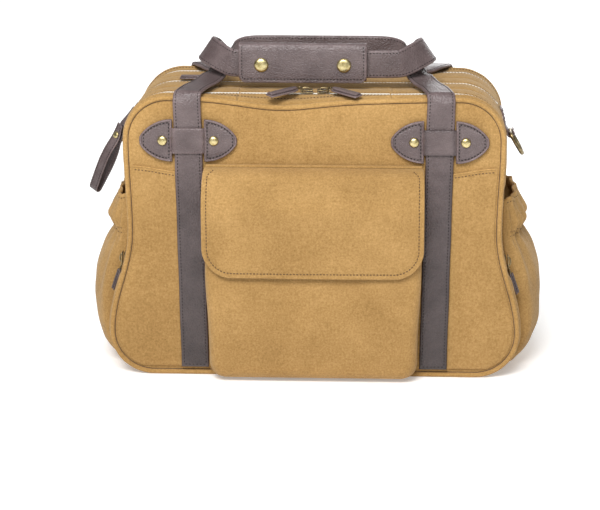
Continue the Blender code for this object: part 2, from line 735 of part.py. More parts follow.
# ---------------------------------------------------------------- rings and loop strap
def build_rings():
    """D-rings hanging from leather tabs on the gussets, leaning outwards."""
    for side, sign in (("left", -1), ("right", 1)):
        path = [(0.0, -RING_HALF_W, 0.0), (0.0, 0.0, 0.0), (0.0, RING_HALF_W, 0.0)]
        bow = arc((0.0, -RING_DROP + RING_HALF_W), RING_HALF_W, 0, -180, 10)
        path += [(0.0, y, z) for y, z in bow]
        ring = tube([Vector(p) for p in path], RING_WIRE, 8, (1, 0, 0))
        hinge = Vector((sign * RING_X, 0.0, RING_Z))
        turn = Matrix.Translation(hinge) @ Matrix.Rotation(-sign * RING_TILT, 4, "Y")
        add_piece(f"d_ring_{side}", "antique_brass", place(ring, turn), origin=hinge, smooth=True)
        bend = RING_WIRE + 2 * GAP + RING_TAB_T / 2
        wall = side_at(RING_TAB_TOP) + GAP + RING_TAB_T / 2
        curl = arc((RING_X, RING_Z), bend, 135, 425, 12)
        fold = [(wall, RING_TAB_TOP), (wall, RING_Z + 0.007)] + curl
        tab = [(sign * x, z) for x, z in sheet_outline(fold, RING_TAB_T)]
        add_piece(f"d_ring_tab_{side}", "leather", prism(tab, 1, -RING_TAB_HALF, RING_TAB_HALF))


def build_loop_strap():
    """Leather loop that hangs from a short tab high on the left gusset."""
    hinge = Vector((-(side_at(LOOP_Z) + 0.0075), LOOP_Y, LOOP_Z))
    spread = LOOP_SPREAD
    path = [(-0.0016, -0.001), (-0.0016, -0.016), (-spread, -0.036), (-spread, -LOOP_LENGTH + spread)]
    path += arc((0.0, -LOOP_LENGTH + spread), spread, 180, 360, 6)[1:]
    path += [(spread, -0.036), (0.0016, -0.016), (0.0016, -0.001)]
    strap = prism(sheet_outline(path, LOOP_T), 1, -LOOP_HALF_W, LOOP_HALF_W)
    turn = Matrix.Translation(hinge) @ Matrix.Rotation(LOOP_TILT, 4, "Y")
    add_piece("loop_strap", "leather", place(strap, turn), origin=hinge)
    cap = turned(dome(0.0036, 0.0018), 12, (-0.0016 - LOOP_T / 2 - GAP, 0.0, -0.009), (-1, 0, 0))
    add_piece("loop_rivet", "brass", place(cap, turn), origin=hinge, smooth=True)
    wall = side_at(LOOP_Z) + GAP
    low = (-wall - 0.0062, LOOP_Y - LOOP_HALF_W, LOOP_Z + 0.0035)
    high = (-wall, LOOP_Y + LOOP_HALF_W, LOOP_Z + 0.0135)
    add_piece("loop_tab", "leather", box(low, high))


def main():
    clear_scene()
    build_panels()
    build_piping()
    build_gussets()
    build_base()
    build_dividers()
    build_top_strips()
    build_lips()
    build_strips()
    build_tabs()
    build_rivets()
    build_pocket()
    build_flap()
    build_side_pockets()
    build_handle("front_handle_strap", -1, FRONT_ROUTE, FRONT_TURNS)
    build_handle("rear_handle_strap", 1, REAR_ROUTE, REAR_TURNS)
    build_wrap()
    build_top_sliders()
    build_side_zips()
    build_rings()
    build_loop_strap()


main()
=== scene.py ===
"""Looks of the canvas doctor bag: cloth, leather, zips, stitching and metal round the fixed CAD frame."""
import json
from math import cos, exp, hypot, pi, radians, sin, sqrt

import bmesh
import bpy
import numpy as np
from mathutils import Matrix, Vector, noise


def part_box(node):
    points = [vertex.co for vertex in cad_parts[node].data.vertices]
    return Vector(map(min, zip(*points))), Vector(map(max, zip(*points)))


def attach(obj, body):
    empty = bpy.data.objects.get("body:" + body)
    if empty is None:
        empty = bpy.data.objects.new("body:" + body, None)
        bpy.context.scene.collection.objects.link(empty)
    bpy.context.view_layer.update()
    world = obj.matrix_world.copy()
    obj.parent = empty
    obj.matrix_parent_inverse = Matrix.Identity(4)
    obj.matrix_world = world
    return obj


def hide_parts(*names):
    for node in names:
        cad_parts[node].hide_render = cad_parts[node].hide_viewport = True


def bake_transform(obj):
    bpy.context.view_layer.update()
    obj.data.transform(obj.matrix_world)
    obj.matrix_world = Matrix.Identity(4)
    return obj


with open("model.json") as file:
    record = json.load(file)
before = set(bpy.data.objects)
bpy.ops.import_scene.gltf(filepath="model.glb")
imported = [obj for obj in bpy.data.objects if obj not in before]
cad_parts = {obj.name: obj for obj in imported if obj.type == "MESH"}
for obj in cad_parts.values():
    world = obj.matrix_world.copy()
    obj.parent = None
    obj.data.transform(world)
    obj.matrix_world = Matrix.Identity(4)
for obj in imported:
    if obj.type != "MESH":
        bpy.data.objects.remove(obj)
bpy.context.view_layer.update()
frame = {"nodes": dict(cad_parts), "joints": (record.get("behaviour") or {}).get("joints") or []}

MM = 0.001

# ---------------------------------------------------------------- sizes read from the frame
PIPE_LOW, PIPE_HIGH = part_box("front_piping")
HEIGHT = PIPE_HIGH.z
HALF_BOTTOM = PIPE_HIGH.x
FRONT = -PIPE_LOW.y
PIPE_R = (PIPE_HIGH.y - PIPE_LOW.y) / 2 * 1.08
PIPE_Y = FRONT - PIPE_R
TAB_LOW, TAB_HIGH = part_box("front_tab_right")
TAB_X = (TAB_LOW.x + TAB_HIGH.x) / 2
TAB_Z = (TAB_LOW.z + TAB_HIGH.z) / 2
TAB_HALF = (TAB_HIGH.x - TAB_LOW.x) / 2
STRIP_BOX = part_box("front_strip_right")
STRIP_W = 28 * MM
STRIP_LOW = STRIP_BOX[0].z
STRIP_Y = (STRIP_BOX[0].y + STRIP_BOX[1].y) / 2
STRIP_T = STRIP_BOX[1].y - STRIP_BOX[0].y
ZIP_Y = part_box("lip_rear")[1].y
SHORT_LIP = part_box("lip_rear")[1].x
LONG_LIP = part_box("lip_main_rear")[1].x
BASE_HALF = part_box("base_panel")[1].x
FLAP_LOW, FLAP_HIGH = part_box("pocket_flap")
POCKET_LOW, POCKET_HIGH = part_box("front_pocket")
WRAP_LOW, WRAP_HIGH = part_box("handle_wrap_flap")

# The outline's own numbers, as the CAD has them.
HALF_WAIST = 188 * MM
HALF_TOP = 191 * MM
WAIST_Z = 150 * MM
R_CORNER = 45 * MM
SHOULDER_Z = HEIGHT - R_CORNER
HEM_Z = 213 * MM                    # top edge of the slip pocket's layer on the front panel
SIDES = (("left", -1), ("right", 1))
FACES = (("front", 1), ("rear", -1))  # the factor mirrors the front straps and tabs in depth
SIDEWAYS = Vector((0, 1, 0))
UPRIGHT = Vector((0, 0, 1))


# ---------------------------------------------------------------- the bag's outline
def half_width(z):
    """Half width between the rounded corners: wide at the foot, narrower at the waist."""
    if z < WAIST_Z:
        t = (z - R_CORNER) / (WAIST_Z - R_CORNER)
        return HALF_WAIST + (HALF_BOTTOM - HALF_WAIST) * (1 + cos(pi * t)) / 2
    t = (z - WAIST_Z) / (SHOULDER_Z - WAIST_Z)
    return HALF_WAIST + (HALF_TOP - HALF_WAIST) * (1 - cos(pi * t)) / 2


def side_at(z, inset=0.0):
    """Half width of the outline at height z, or of the line that runs the same distance inside it."""
    radius = R_CORNER - inset
    if z < R_CORNER:
        rise, half = R_CORNER - z, HALF_BOTTOM
    elif z > SHOULDER_Z:
        rise, half = z - SHOULDER_Z, HALF_TOP
    else:
        return half_width(z) - inset
    return half - R_CORNER + sqrt(max(radius ** 2 - min(rise, radius) ** 2, 0.0))


def outline_points():
    """Dense outline from the top centre, down the right side to the bottom centre."""
    def corner(half, z, start, stop):
        return [(half - R_CORNER + R_CORNER * cos(a), z + R_CORNER * sin(a))
                for a in np.linspace(start, stop, 40)[:-1]]

    points = [(x, HEIGHT) for x in np.linspace(0.0, HALF_TOP - R_CORNER, 60)[:-1]]
    points += corner(HALF_TOP, SHOULDER_Z, pi / 2, 0.0)
    points += [(half_width(z), z) for z in np.linspace(SHOULDER_Z, R_CORNER, 90)[:-1]]
    points += corner(HALF_BOTTOM, R_CORNER, 0.0, -pi / 2)
    points += [(x, 0.0) for x in np.linspace(HALF_BOTTOM - R_CORNER, 0.0, 50)]
    return np.array(points)


OUTLINE = outline_points()
RUNS = np.concatenate([[0.0], np.cumsum(np.linalg.norm(np.diff(OUTLINE, axis=0), axis=1))])
HALF_ROUND = RUNS[-1]
SLOPE_STEP = 1.5 * MM


def outline_at(s, inset=0.0):
    """Point inside the outline and outward normal, s metres from the top centre, positive rightwards."""
    sign = 1.0 if s >= 0 else -1.0
    run = min(abs(s), HALF_ROUND)
    ends = (max(run - SLOPE_STEP, 0.0), min(run + SLOPE_STEP, HALF_ROUND))
    x, z = (np.interp(run, RUNS, OUTLINE[:, k]) for k in (0, 1))
    dx, dz = (np.diff(np.interp(ends, RUNS, OUTLINE[:, k]))[0] for k in (0, 1))
    length = hypot(dx, dz)
    normal_x, normal_z = -dz / length, dx / length
    return sign * (x - normal_x * inset), z - normal_z * inset, sign * normal_x, normal_z


def depth_inside(x, z):
    """Distance from a front-plane point to the outline."""
    return float(np.hypot(OUTLINE[:, 0] - abs(x), OUTLINE[:, 1] - z).min())


def smoothstep(low, high, value):
    t = min(max((value - low) / (high - low), 0.0), 1.0)
    return t * t * (3 - 2 * t)


def bell(distance, width):
    return exp(-(distance / width) ** 2)


def bumps(x, y, z, size, seed=0.0):
    return noise.noise(Vector((x / size + seed, y / size - seed, z / size + 2 * seed)))


def sag(x, y, z):
    """How far the top edge droops between the handles: deep and off centre in front, slight behind."""
    droop = 2.8 * MM * cos(min(abs(x) / (150 * MM), 1.0) * pi / 2) ** 2
    if y < 0:
        droop += 6.6 * MM * bell(x + 36 * MM, 50 * MM)
    edge = smoothstep(68 * MM, 89 * MM, abs(y))
    return droop * edge * smoothstep(HEIGHT - 75 * MM, HEIGHT - 6 * MM, z)


def between(low, high, step):
    """Even stations from low to high, about a step apart."""
    return list(np.linspace(low, high, max(int(abs(high - low) / step), 2) + 1))


# ---------------------------------------------------------------- materials
def new_material(name):
    material = bpy.data.materials.new(name)
    material.use_nodes = True
    return material, material.node_tree, material.node_tree.nodes["Principled BSDF"]


def set_inputs(made, **values):
    for key, value in values.items():
        made.inputs[key.replace("_", " ")].default_value = value


def feed(tree, socket, value):
    """A number is set on the socket, an output is linked to it."""
    if isinstance(value, (int, float)):
        socket.default_value = value
    else:
        tree.links.new(value, socket)


def node(tree, kind, vector=None, **values):
    made = tree.nodes.new(kind)
    set_inputs(made, **values)
    if vector is not None:
        tree.links.new(vector, made.inputs["Vector"])
    return made


def object_coordinates(tree):
    return node(tree, "ShaderNodeTexCoord").outputs["Object"]


def pointiness(tree):
    return node(tree, "ShaderNodeNewGeometry").outputs["Pointiness"]


def noise_texture(tree, where, scale, detail, roughness, stretch=None):
    if stretch is not None:
        where = node(tree, "ShaderNodeMapping", where, Scale=stretch).outputs["Vector"]
    made = node(tree, "ShaderNodeTexNoise", where, Scale=scale, Detail=detail, Roughness=roughness)
    return made.outputs["Fac"]


def maths(tree, operation, first, second):
    made = tree.nodes.new("ShaderNodeMath")
    made.operation = operation
    feed(tree, made.inputs[0], first)
    feed(tree, made.inputs[1], second)
    return made.outputs[0]


def scaled(tree, value, gain, base):
    return maths(tree, "ADD", maths(tree, "MULTIPLY", value, gain), base)


def mixed(tree, *terms):
    """Sum of (output, weight) terms."""
    total = None
    for value, weight in terms:
        part = maths(tree, "MULTIPLY", value, weight)
        total = part if total is None else maths(tree, "ADD", total, part)
    return total


def split_axes(tree, where):
    split = node(tree, "ShaderNodeSeparateXYZ")
    tree.links.new(where, split.inputs[0])
    return split.outputs


def ramp(tree, factor, *stops):
    """Colour ramp; a stop is (place, colour), and a single number is a grey."""
    made = tree.nodes.new("ShaderNodeValToRGB")
    points = made.color_ramp.elements
    while len(points) < len(stops):
        points.new(0.5)
    for point, (place, colour) in zip(points, stops):
        point.position = place
        point.color = (*colour, 1.0) if isinstance(colour, tuple) else (colour, colour, colour, 1.0)
    tree.links.new(factor, made.inputs["Fac"])
    return made.outputs["Color"]


def shaded(tree, colour, shade):
    made = tree.nodes.new("ShaderNodeMix")
    made.data_type = "RGBA"
    made.blend_type = "MULTIPLY"
    made.inputs[0].default_value = 1.0
    tree.links.new(colour, made.inputs[6])
    tree.links.new(shade, made.inputs[7])
    return made.outputs[2]


def finish_shader(tree, shader, colour, rough, height, distance, strength):
    """Colour, roughness and bump of a finished material."""
    feed(tree, shader.inputs["Base Color"], colour)
    feed(tree, shader.inputs["Roughness"], rough)
    made = node(tree, "ShaderNodeBump", Strength=strength, Distance=distance)
    tree.links.new(height, made.inputs["Height"])
    tree.links.new(made.outputs["Normal"], shader.inputs["Normal"])


def cloth_material(name, dark, middle, light, pitch, sheen=0.25, painted_low_shade=0.0):
    """Brushed canvas: crossed threads, slubs, mottling, worn pale ridges, painted shade in hollows and, where
    set, painted shade that darkens it towards the bottom.
    """
    material, tree, shader = new_material(name)
    where = object_coordinates(tree)
    mottle = noise_texture(tree, where, 17.0, 3.0, 0.55)
    fine = noise_texture(tree, where, 520.0, 4.0, 0.75)
    slubs = [noise_texture(tree, where, 420.0, 3.0, 0.6, run)
             for run in ((1.0, 1.0, 0.22), (0.22, 0.22, 1.0))]
    speck = mixed(tree, (slubs[0], 0.5), (slubs[1], 0.5))
    blend = mixed(tree, (mottle, 0.22), (speck, 0.20), (fine, 0.58))
    colour = ramp(tree, blend, (0.34, dark), (0.5, middle), (0.66, light))
    # Pointiness: painted shade darkens hollows and creases, and worn ridges turn paler.
    colour = shaded(tree, colour, ramp(tree, pointiness(tree), (0.44, (0.72, 0.70, 0.66)), (0.5, 1.0),
                                       (0.57, (1.16, 1.15, 1.12))))
    # Painted shade: the cloth darkens towards the bottom, by height with some mottling.
    if painted_low_shade:
        low = 1.0 - painted_low_shade
        uneven = maths(tree, "SUBTRACT", mottle, 0.5)
        level = mixed(tree, (split_axes(tree, where)[2], 1 / HEIGHT), (uneven, 0.5))
        colour = shaded(tree, colour, ramp(tree, level, (0.05, (low, low * 0.98, low * 0.95)), (0.95, 1.0)))
    set_inputs(shader, Sheen_Weight=sheen, Sheen_Roughness=0.45, Sheen_Tint=(1.0, 0.86, 0.66, 1.0),
               Specular_IOR_Level=0.2)
    waves = [(maths(tree, "SINE", maths(tree, "MULTIPLY", axis, 2 * pi / pitch), 0.0), 1.0)
             for axis in split_axes(tree, where)]
    height = mixed(tree, (mixed(tree, *waves), 0.22), (speck, 1.4), (fine, 1.0))
    finish_shader(tree, shader, colour, scaled(tree, fine, 0.16, 0.80), height, 0.35 * MM, 0.75)
    return material


def leather_material(name, dark, light):
    """Pebbled leather: cells with soft valleys, a satin finish, paler edges of rubbing wear and painted
    highlight, painted shade in hollows, and painted light by height: darker feet, a lighter top.
    """
    material, tree, shader = new_material(name)
    where = object_coordinates(tree)
    cells = node(tree, "ShaderNodeTexVoronoi", where, Scale=620.0, Randomness=1.0)
    cells.feature = "SMOOTH_F1"
    set_inputs(cells, Smoothness=0.35)
    broad = noise_texture(tree, where, 45.0, 4.0, 0.6)
    fine = noise_texture(tree, where, 900.0, 2.0, 0.5)
    colour = ramp(tree, mixed(tree, (broad, 0.6), (fine, 0.4)), (0.35, dark), (0.65, light))
    # Pointiness: painted shade darkens hollows; edges turn paler, rubbing wear with a painted highlight.
    colour = shaded(tree, colour, ramp(tree, pointiness(tree), (0.45, (0.55, 0.53, 0.55)), (0.5, 1.0),
                                       (0.56, (1.45, 1.42, 1.43))))
    # Painted light by height: darker towards the feet, lighter towards the top.
    level = maths(tree, "MULTIPLY", split_axes(tree, where)[2], 1 / HEIGHT)
    colour = shaded(tree, colour, ramp(tree, level, (0.10, (0.50, 0.49, 0.49)), (0.60, (0.86, 0.85, 0.85)),
                                       (0.80, (1.35, 1.34, 1.34))))
    set_inputs(shader, Specular_IOR_Level=0.62)
    height = mixed(tree, (fine, 0.25), (cells.outputs["Distance"], -1.0))
    finish_shader(tree, shader, colour, scaled(tree, broad, 0.20, 0.30), height, 0.6 * MM, 0.85)
    return material


def metal_material(name, dark, light, roughness, dirt):
    """Cast or plated brass: brushed, with darker tarnish in a broad noise."""
    material, tree, shader = new_material(name)
    where = object_coordinates(tree)
    broad = noise_texture(tree, where, 240.0, 4.0, 0.6)
    scratch = noise_texture(tree, where, 900.0, 2.0, 0.5, (1.0, 1.0, 0.1))
    mask = mixed(tree, (broad, dirt), (pointiness(tree), 1.0 - dirt))
    set_inputs(shader, Metallic=1.0)
    colour = ramp(tree, mask, (0.40, dark), (0.58, light))
    finish_shader(tree, shader, colour, scaled(tree, scratch, 0.22, roughness), scratch, 0.05 * MM, 0.25)
    return material


def thread_material(name, dark, light):
    """Twisted thread: fine ply and slight colour change along the seam."""
    material, tree, shader = new_material(name)
    ply = noise_texture(tree, object_coordinates(tree), 700.0, 2.0, 0.5, (1.0, 1.0, 2.5))
    finish_shader(tree, shader, ramp(tree, ply, (0.35, dark), (0.65, light)), 0.75, ply, 0.15 * MM, 0.6)
    return material


# Each finish is a material and the record's slot that it belongs to.
# The canvas's last setting is painted shade that darkens it towards the bottom.
CANVAS = (cloth_material("canvas", (0.290, 0.162, 0.050), (0.430, 0.254, 0.089), (0.575, 0.356, 0.141),
                         0.9 * MM, painted_low_shade=0.20), "canvas")
LINING = (cloth_material("lining", (0.20, 0.14, 0.085), (0.27, 0.19, 0.115), (0.33, 0.24, 0.15),
                         0.7 * MM, 0.1), "lining")
TAPE = (cloth_material("zip_tape", (0.56, 0.50, 0.40), (0.70, 0.65, 0.54), (0.80, 0.76, 0.66),
                       0.6 * MM, 0.1), "zip_tape")
LEATHER = (leather_material("leather", (0.058, 0.040, 0.040), (0.112, 0.084, 0.083)), "leather")
BRASS = (metal_material("brass", (0.42, 0.33, 0.13), (0.80, 0.68, 0.36), 0.20, 0.55), "brass")
ANTIQUE = (metal_material("antique_brass", (0.060, 0.046, 0.026), (0.36, 0.28, 0.15), 0.28, 0.6),
           "antique_brass")
DARK_THREAD = (thread_material("dark_thread", (0.008, 0.006, 0.006), (0.028, 0.020, 0.019)), "thread")
TAN_THREAD = (thread_material("tan_thread", (0.22, 0.125, 0.045), (0.33, 0.195, 0.080)), "thread")
TEETH = (cloth_material("zip_teeth", (0.70, 0.67, 0.60), (0.82, 0.80, 0.74), (0.90, 0.88, 0.84),
                        0.5 * MM, 0.1), "zip_tape")
BROWN_THREAD = (thread_material("brown_thread", (0.075, 0.040, 0.016), (0.15, 0.085, 0.036)), "thread")


# ---------------------------------------------------------------- mesh helpers
def finished(name, mesh, finish):
    """New object of one finish."""
    piece = bpy.data.objects.new(name, mesh)
    bpy.context.scene.collection.objects.link(piece)
    mesh.shade_smooth()
    mesh.materials.append(finish[0])
    return piece


def raw_mesh(name, verts, faces):
    mesh = bpy.data.meshes.new(name)
    mesh.from_pydata([tuple(v) for v in verts], [], faces)
    return mesh


def make_piece(name, verts, faces, finish, merge=0.001 * MM):
    mesh = raw_mesh(name, verts, faces)
    bm = bmesh.new()
    bm.from_mesh(mesh)
    bmesh.ops.remove_doubles(bm, verts=bm.verts, dist=merge)
    bmesh.ops.recalc_face_normals(bm, faces=bm.faces)
    bm.to_mesh(mesh)
    bm.free()
    return finished(name, mesh, finish)


def settle(body, *pieces, cad=None):
    """The pieces ride a body, and a CAD node is hidden where it is named."""
    if cad is not None:
        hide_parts(cad)
    for piece in pieces:
        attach(piece, body)


def dress(name, finish):
    """New material on a CAD node that stays."""
    data = frame["nodes"][name].data
    data.materials.clear()
    data.materials.append(finish[0])


def grid_faces(rows, columns, wrap_rows=False, wrap_columns=False):
    faces = []
    for i in range(rows if wrap_rows else rows - 1):
        for j in range(columns if wrap_columns else columns - 1):
            i2 = (i + 1) % rows
            j2 = (j + 1) % columns
            faces.append((i * columns + j, i * columns + j2, i2 * columns + j2, i2 * columns + j))
    return faces


def thicken(piece, thickness, outward):
    """Give a one-sided sheet its thickness on the inner side."""
    modifier = piece.modifiers.new("thickness", "SOLIDIFY")
    modifier.thickness = thickness
    modifier.offset = -1.0 if outward else 1.0
    modifier.use_even_offset = False
    graph = bpy.context.evaluated_depsgraph_get()
    graph.update()
    baked = bpy.data.meshes.new_from_object(piece.evaluated_get(graph))
    piece.modifiers.clear()
    piece.data = baked
    baked.shade_smooth()


def join(name, pieces):
    """One object from several of the same kind."""
    bm = bmesh.new()
    for piece in pieces:
        bm.from_mesh(piece.data)
    bm.to_mesh(pieces[0].data)
    bm.free()
    for piece in pieces[1:]:
        bpy.data.objects.remove(piece)
    pieces[0].name = name
    pieces[0].data.shade_smooth()
    return pieces[0]


def bar(name, verts, count, sides, finish, closed=False):
    """Piece made of rings of points, with closed ends where it isn't a loop."""
    faces = grid_faces(count, sides, closed, True)
    if not closed:
        faces.append(tuple(range(sides)))
        faces.append(tuple(range((count - 1) * sides, count * sides)))
    return make_piece(name, verts, faces, finish)


def ring_angles(sides):
    return [2 * pi * k / sides for k in range(sides)]


def tube(name, path, radius, sides, finish, closed=False, wobble=0.0):
    """Round bar along any path, with parallel-carried rings and closed ends."""
    points = [Vector(p) for p in path]
    count = len(points)
    verts = []
    up = None
    for i, point in enumerate(points):
        before = points[(i - 1) % count] if closed or i > 0 else point
        after = points[(i + 1) % count] if closed or i < count - 1 else point
        run = (after - before).normalized()
        if up is None:
            up = Vector((0, 1, 0)) if closed and abs(run.y) < 0.9 else run.orthogonal().normalized()
        up = (up - run * up.dot(run)).normalized()
        side = run.cross(up)
        r = radius * (1.0 + wobble * bumps(*point, 9 * MM))
        verts += [point + r * (cos(a) * up + sin(a) * side) for a in ring_angles(sides)]
    return bar(name, verts, count, sides, finish, closed)


def ridged_tube(name, path, radius, flat=1.0):
    """Zip coil: a thin bar whose thickness swells and shrinks tooth by tooth."""
    last = len(path) - 1
    verts = []
    for i, point in enumerate(path):
        run = (path[min(i + 1, last)] - path[max(i - 1, 0)]).normalized()
        up = run.cross(SIDEWAYS).normalized()
        r = radius * (1.16 if i % 2 else 0.84)
        verts += [point + r * cos(a) * SIDEWAYS + r * flat * sin(a) * up for a in ring_angles(8)]
    return bar(name, verts, len(path), 8, TEETH)


def domed(name, base, axis, radius, height):
    """Turned, polished cap with a rolled rim."""
    profile = [(0.90, 0.0), (0.99, 0.06), (1.0, 0.16), (0.985, 0.27), (0.93, 0.36)]
    profile += [(1.06 * cos(radians(a)), 0.14 + 0.86 * sin(radians(a))) for a in (32, 44, 56, 68, 80, 88)]
    turn = UPRIGHT.rotation_difference(Vector(axis)).to_matrix()
    verts = []
    for out, rise in profile:
        for a in ring_angles(36):
            verts.append(Vector(base) + turn @ Vector((radius * out * cos(a), radius * out * sin(a),
                                                       height * rise)))
    return bar(name, verts, len(profile), 36, BRASS)


EDGE_STEPS = (0.0, 0.25 * MM, 0.7 * MM, 1.4 * MM)


def spread(low, high, step, ends=True):
    """Stations from low to high, close together at the ends."""
    if not ends:
        return between(low, high, step)
    starts = [low + d for d in EDGE_STEPS[:-1]]
    stops = [high - d for d in reversed(EDGE_STEPS[:-1])]
    return starts + between(low + EDGE_STEPS[-1], high - EDGE_STEPS[-1], step) + stops


def edge_places(reach, across):
    """Places across a strip from one edge to the other, close together at both."""
    near = [d * min(1.0, reach / (6 * MM)) for d in EDGE_STEPS]
    inner = reach - near[-1]
    outer = [reach - d for d in near[:-1]]
    return outer + [inner * (1 - 2 * k / across) for k in range(across + 1)] + [-u for u in reversed(outer)]


def half_thickness(edge, thickness):
    """Half the thickness at a distance from a rounded edge."""
    fall = 1 - min(max(edge, 0.0) / (thickness * 0.55), 1.0)
    return thickness / 2 * sqrt(max(0.0, 1 - fall * fall))


def reach_at(half, s):
    return half(s) if callable(half) else half


def two_sided(name, tops, bottoms, rows, finish):
    offset = len(tops)
    faces = grid_faces(rows, offset // rows)
    faces += [tuple(offset + i for i in reversed(face)) for face in faces]
    return make_piece(name, tops + bottoms, faces, finish)


def normal_of(place, u, v, flip=False):
    """Normal of the surface place(u, v)."""
    step = 0.3 * MM
    across = Vector(place(u + step, v)) - Vector(place(u - step, v))
    along = Vector(place(u, v + step)) - Vector(place(u, v - step))
    normal = across.cross(along).normalized()
    return -normal if flip else normal


def leaf(name, place, v_range, half, thickness, across, step, groove=None, flip=False, rough=0.0):
    """Canvas sheet with rounded edges: its middle lies on place(u, v), u across and v along."""
    v0, v1 = v_range
    stations = spread(v0, v1, step)
    tops, bottoms = [], []
    for v in stations:
        reach = reach_at(half, v)
        for u in edge_places(reach, across):
            edge = min(reach - abs(u), v - v0, v1 - v)
            height = half_thickness(edge, thickness)
            top = height
            normal = normal_of(place, u, v, flip)
            middle = Vector(place(u, v))
            if groove is not None:
                top -= 0.5 * MM * bell(edge - groove, 0.7 * MM)
            if rough:
                top += rough * bumps(*middle, 11 * MM) * smoothstep(0, 3 * MM, edge)
            tops.append(middle + normal * top)
            bottoms.append(middle - normal * height)
    return two_sided(name, tops, bottoms, len(stations), CANVAS)


STITCH_PITCH = 3.3 * MM
STITCH_LENGTH = 2.3 * MM
STITCH_SIDES = 5


def lengths_of(points):
    """Running length at each point of a path."""
    steps = [(b - a).length for a, b in zip(points, points[1:])]
    return np.concatenate([[0.0], np.cumsum(steps)])


def column_tables(rows, count):
    """The first vectors of each row as tables of numbers."""
    return [np.array([list(row[k]) for row in rows]) for k in range(count)]


def on_table(s, runs, table):
    """Vector at length s."""
    return Vector([float(np.interp(s, runs, table[:, k])) for k in range(3)])


def sew(name, runs, finish, pitch=STITCH_PITCH, length=STITCH_LENGTH, radius=0.48 * MM):
    """Rows of separate stitches lying along runs of (point, normal)."""
    verts, faces = [], []
    for run in runs:
        marks = lengths_of([Vector(p) for p, _ in run])
        points, normals = column_tables(run, 2)
        total = float(marks[-1])
        count = max(int(total / pitch), 1)
        for k in range(count):
            middle = (k + 0.5) * total / count
            start, end = (on_table(middle + half, marks, points) for half in (-length / 2, length / 2))
            normal = on_table(middle, marks, normals).normalized()
            along = end - start
            if along.length < length * 0.3:
                continue
            side = along.normalized().cross(normal)
            first = len(verts)
            last = first + 1 + 3 * STITCH_SIDES
            verts.append(start - normal * radius * 0.5)
            for t, swell in ((0.22, 0.9), (0.5, 1.0), (0.78, 0.9)):
                centre = start + along * t + normal * radius * 0.15
                for q in range(STITCH_SIDES):
                    a = 2 * pi * q / STITCH_SIDES + 0.3
                    verts.append(centre + radius * swell * (cos(a) * side + sin(a) * normal))
            verts.append(end - normal * radius * 0.5)
            for q in range(STITCH_SIDES):
                r = (q + 1) % STITCH_SIDES
                faces.append((first, first + 1 + q, first + 1 + r))
                for a in (first + 1, first + 1 + STITCH_SIDES):
                    faces.append((a + q, a + STITCH_SIDES + q, a + STITCH_SIDES + r, a + r))
                faces.append((last - STITCH_SIDES + q, last, last - STITCH_SIDES + r))
    return make_piece(name, verts, faces, finish)


def seam_run(place, places, height):
    """Stitch run through (u, v) places on a surface that faces the front."""
    run = []
    for u, v in places:
        normal = normal_of(place, u, v)
        normal = -normal if normal.y > 0 else normal
        run.append((place(u, v) + normal * height, normal))
    return run


def smooth_path(points, steps):
    """Catmull-Rom curve through the points."""
    padded = [points[0]] + list(points) + [points[-1]]
    result = []
    for i in range(1, len(padded) - 2):
        p0, p1, p2, p3 = (Vector(p) for p in padded[i - 1:i + 3])
        for step in range(steps):
            t = step / steps
            result.append(0.5 * (2 * p1 + (p2 - p0) * t + (2 * p0 - 5 * p1 + 4 * p2 - p3) * t ** 2
                                 + (3 * p1 - p0 - 3 * p2 + p3) * t ** 3))
    result.append(Vector(points[-1]))
    return result


def resample(frames, step, ends=True):
    """Frames (centre, across, normal) at even stations, close together at the ends."""
    runs = lengths_of([f[0] for f in frames])
    tables = column_tables(frames, 3)
    result = []
    for s in spread(0.0, float(runs[-1]), step, ends):
        centre, across, normal = (on_table(s, runs, table) for table in tables)
        result.append((centre, across.normalized(), normal.normalized(), s))
    return result, float(runs[-1])


def band(name, frames, half, thickness, finish=LEATHER, across=6, step=3 * MM, groove=None, rough=0.0,
         crown=0.0, double=False):
    """Strap of leather or cloth: rounded edges, a pressed stitch line and an optional crown."""
    stations, total = resample(frames, step)
    tops, bottoms = [], []
    for centre, wide, normal, s in stations:
        reach = reach_at(half, s)
        for u in edge_places(reach, across):
            edge = min(reach - abs(u), s, total - s)
            top = bottom = half_thickness(edge, thickness)
            if groove is not None:
                dent = 0.55 * MM * bell(edge - groove, 0.8 * MM)
                top -= dent
                bottom -= dent if double else 0.0
            top += crown * (1 - (u / max(reach, 1e-6)) ** 2)
            spot = centre + wide * u
            if rough:
                wave = rough * bumps(*spot, 13 * MM) * smoothstep(0, 3 * MM, edge)
                top += wave
                bottom -= wave
            tops.append(spot + normal * top)
            bottoms.append(spot - normal * bottom)
    return two_sided(name, tops, bottoms, len(stations), finish)


def band_seam(frames, u, height, start, stop=None, side=1):
    """Stitch run along a band at a sideways offset, between two lengths."""
    stations, total = resample(frames, 2 * MM, False)
    stop = total if stop is None else stop
    return [(centre + wide * reach_at(u, s) + normal * side * height, normal * side)
            for centre, wide, normal, s in stations if start <= s <= stop]


def path_frames(points, across):
    """Frames along a path whose width always points the same way."""
    points = [Vector(p) for p in points]
    across = Vector(across)
    frames = []
    for i, point in enumerate(points):
        run = (points[min(i + 1, len(points) - 1)] - points[max(i - 1, 0)]).normalized()
        frames.append((point, across, run.cross(across).normalized()))
    return frames


def length_of(frames):
    return float(lengths_of([f[0] for f in frames])[-1])


# ---------------------------------------------------------------- shell of the bag
ZIP_LINES = (-ZIP_Y, 0.0, ZIP_Y)
# How far down the shoulders each zip's coil runs.
ZIP_END_Z = {-ZIP_Y: 226 * MM, 0.0: 266 * MM, ZIP_Y: 214 * MM}
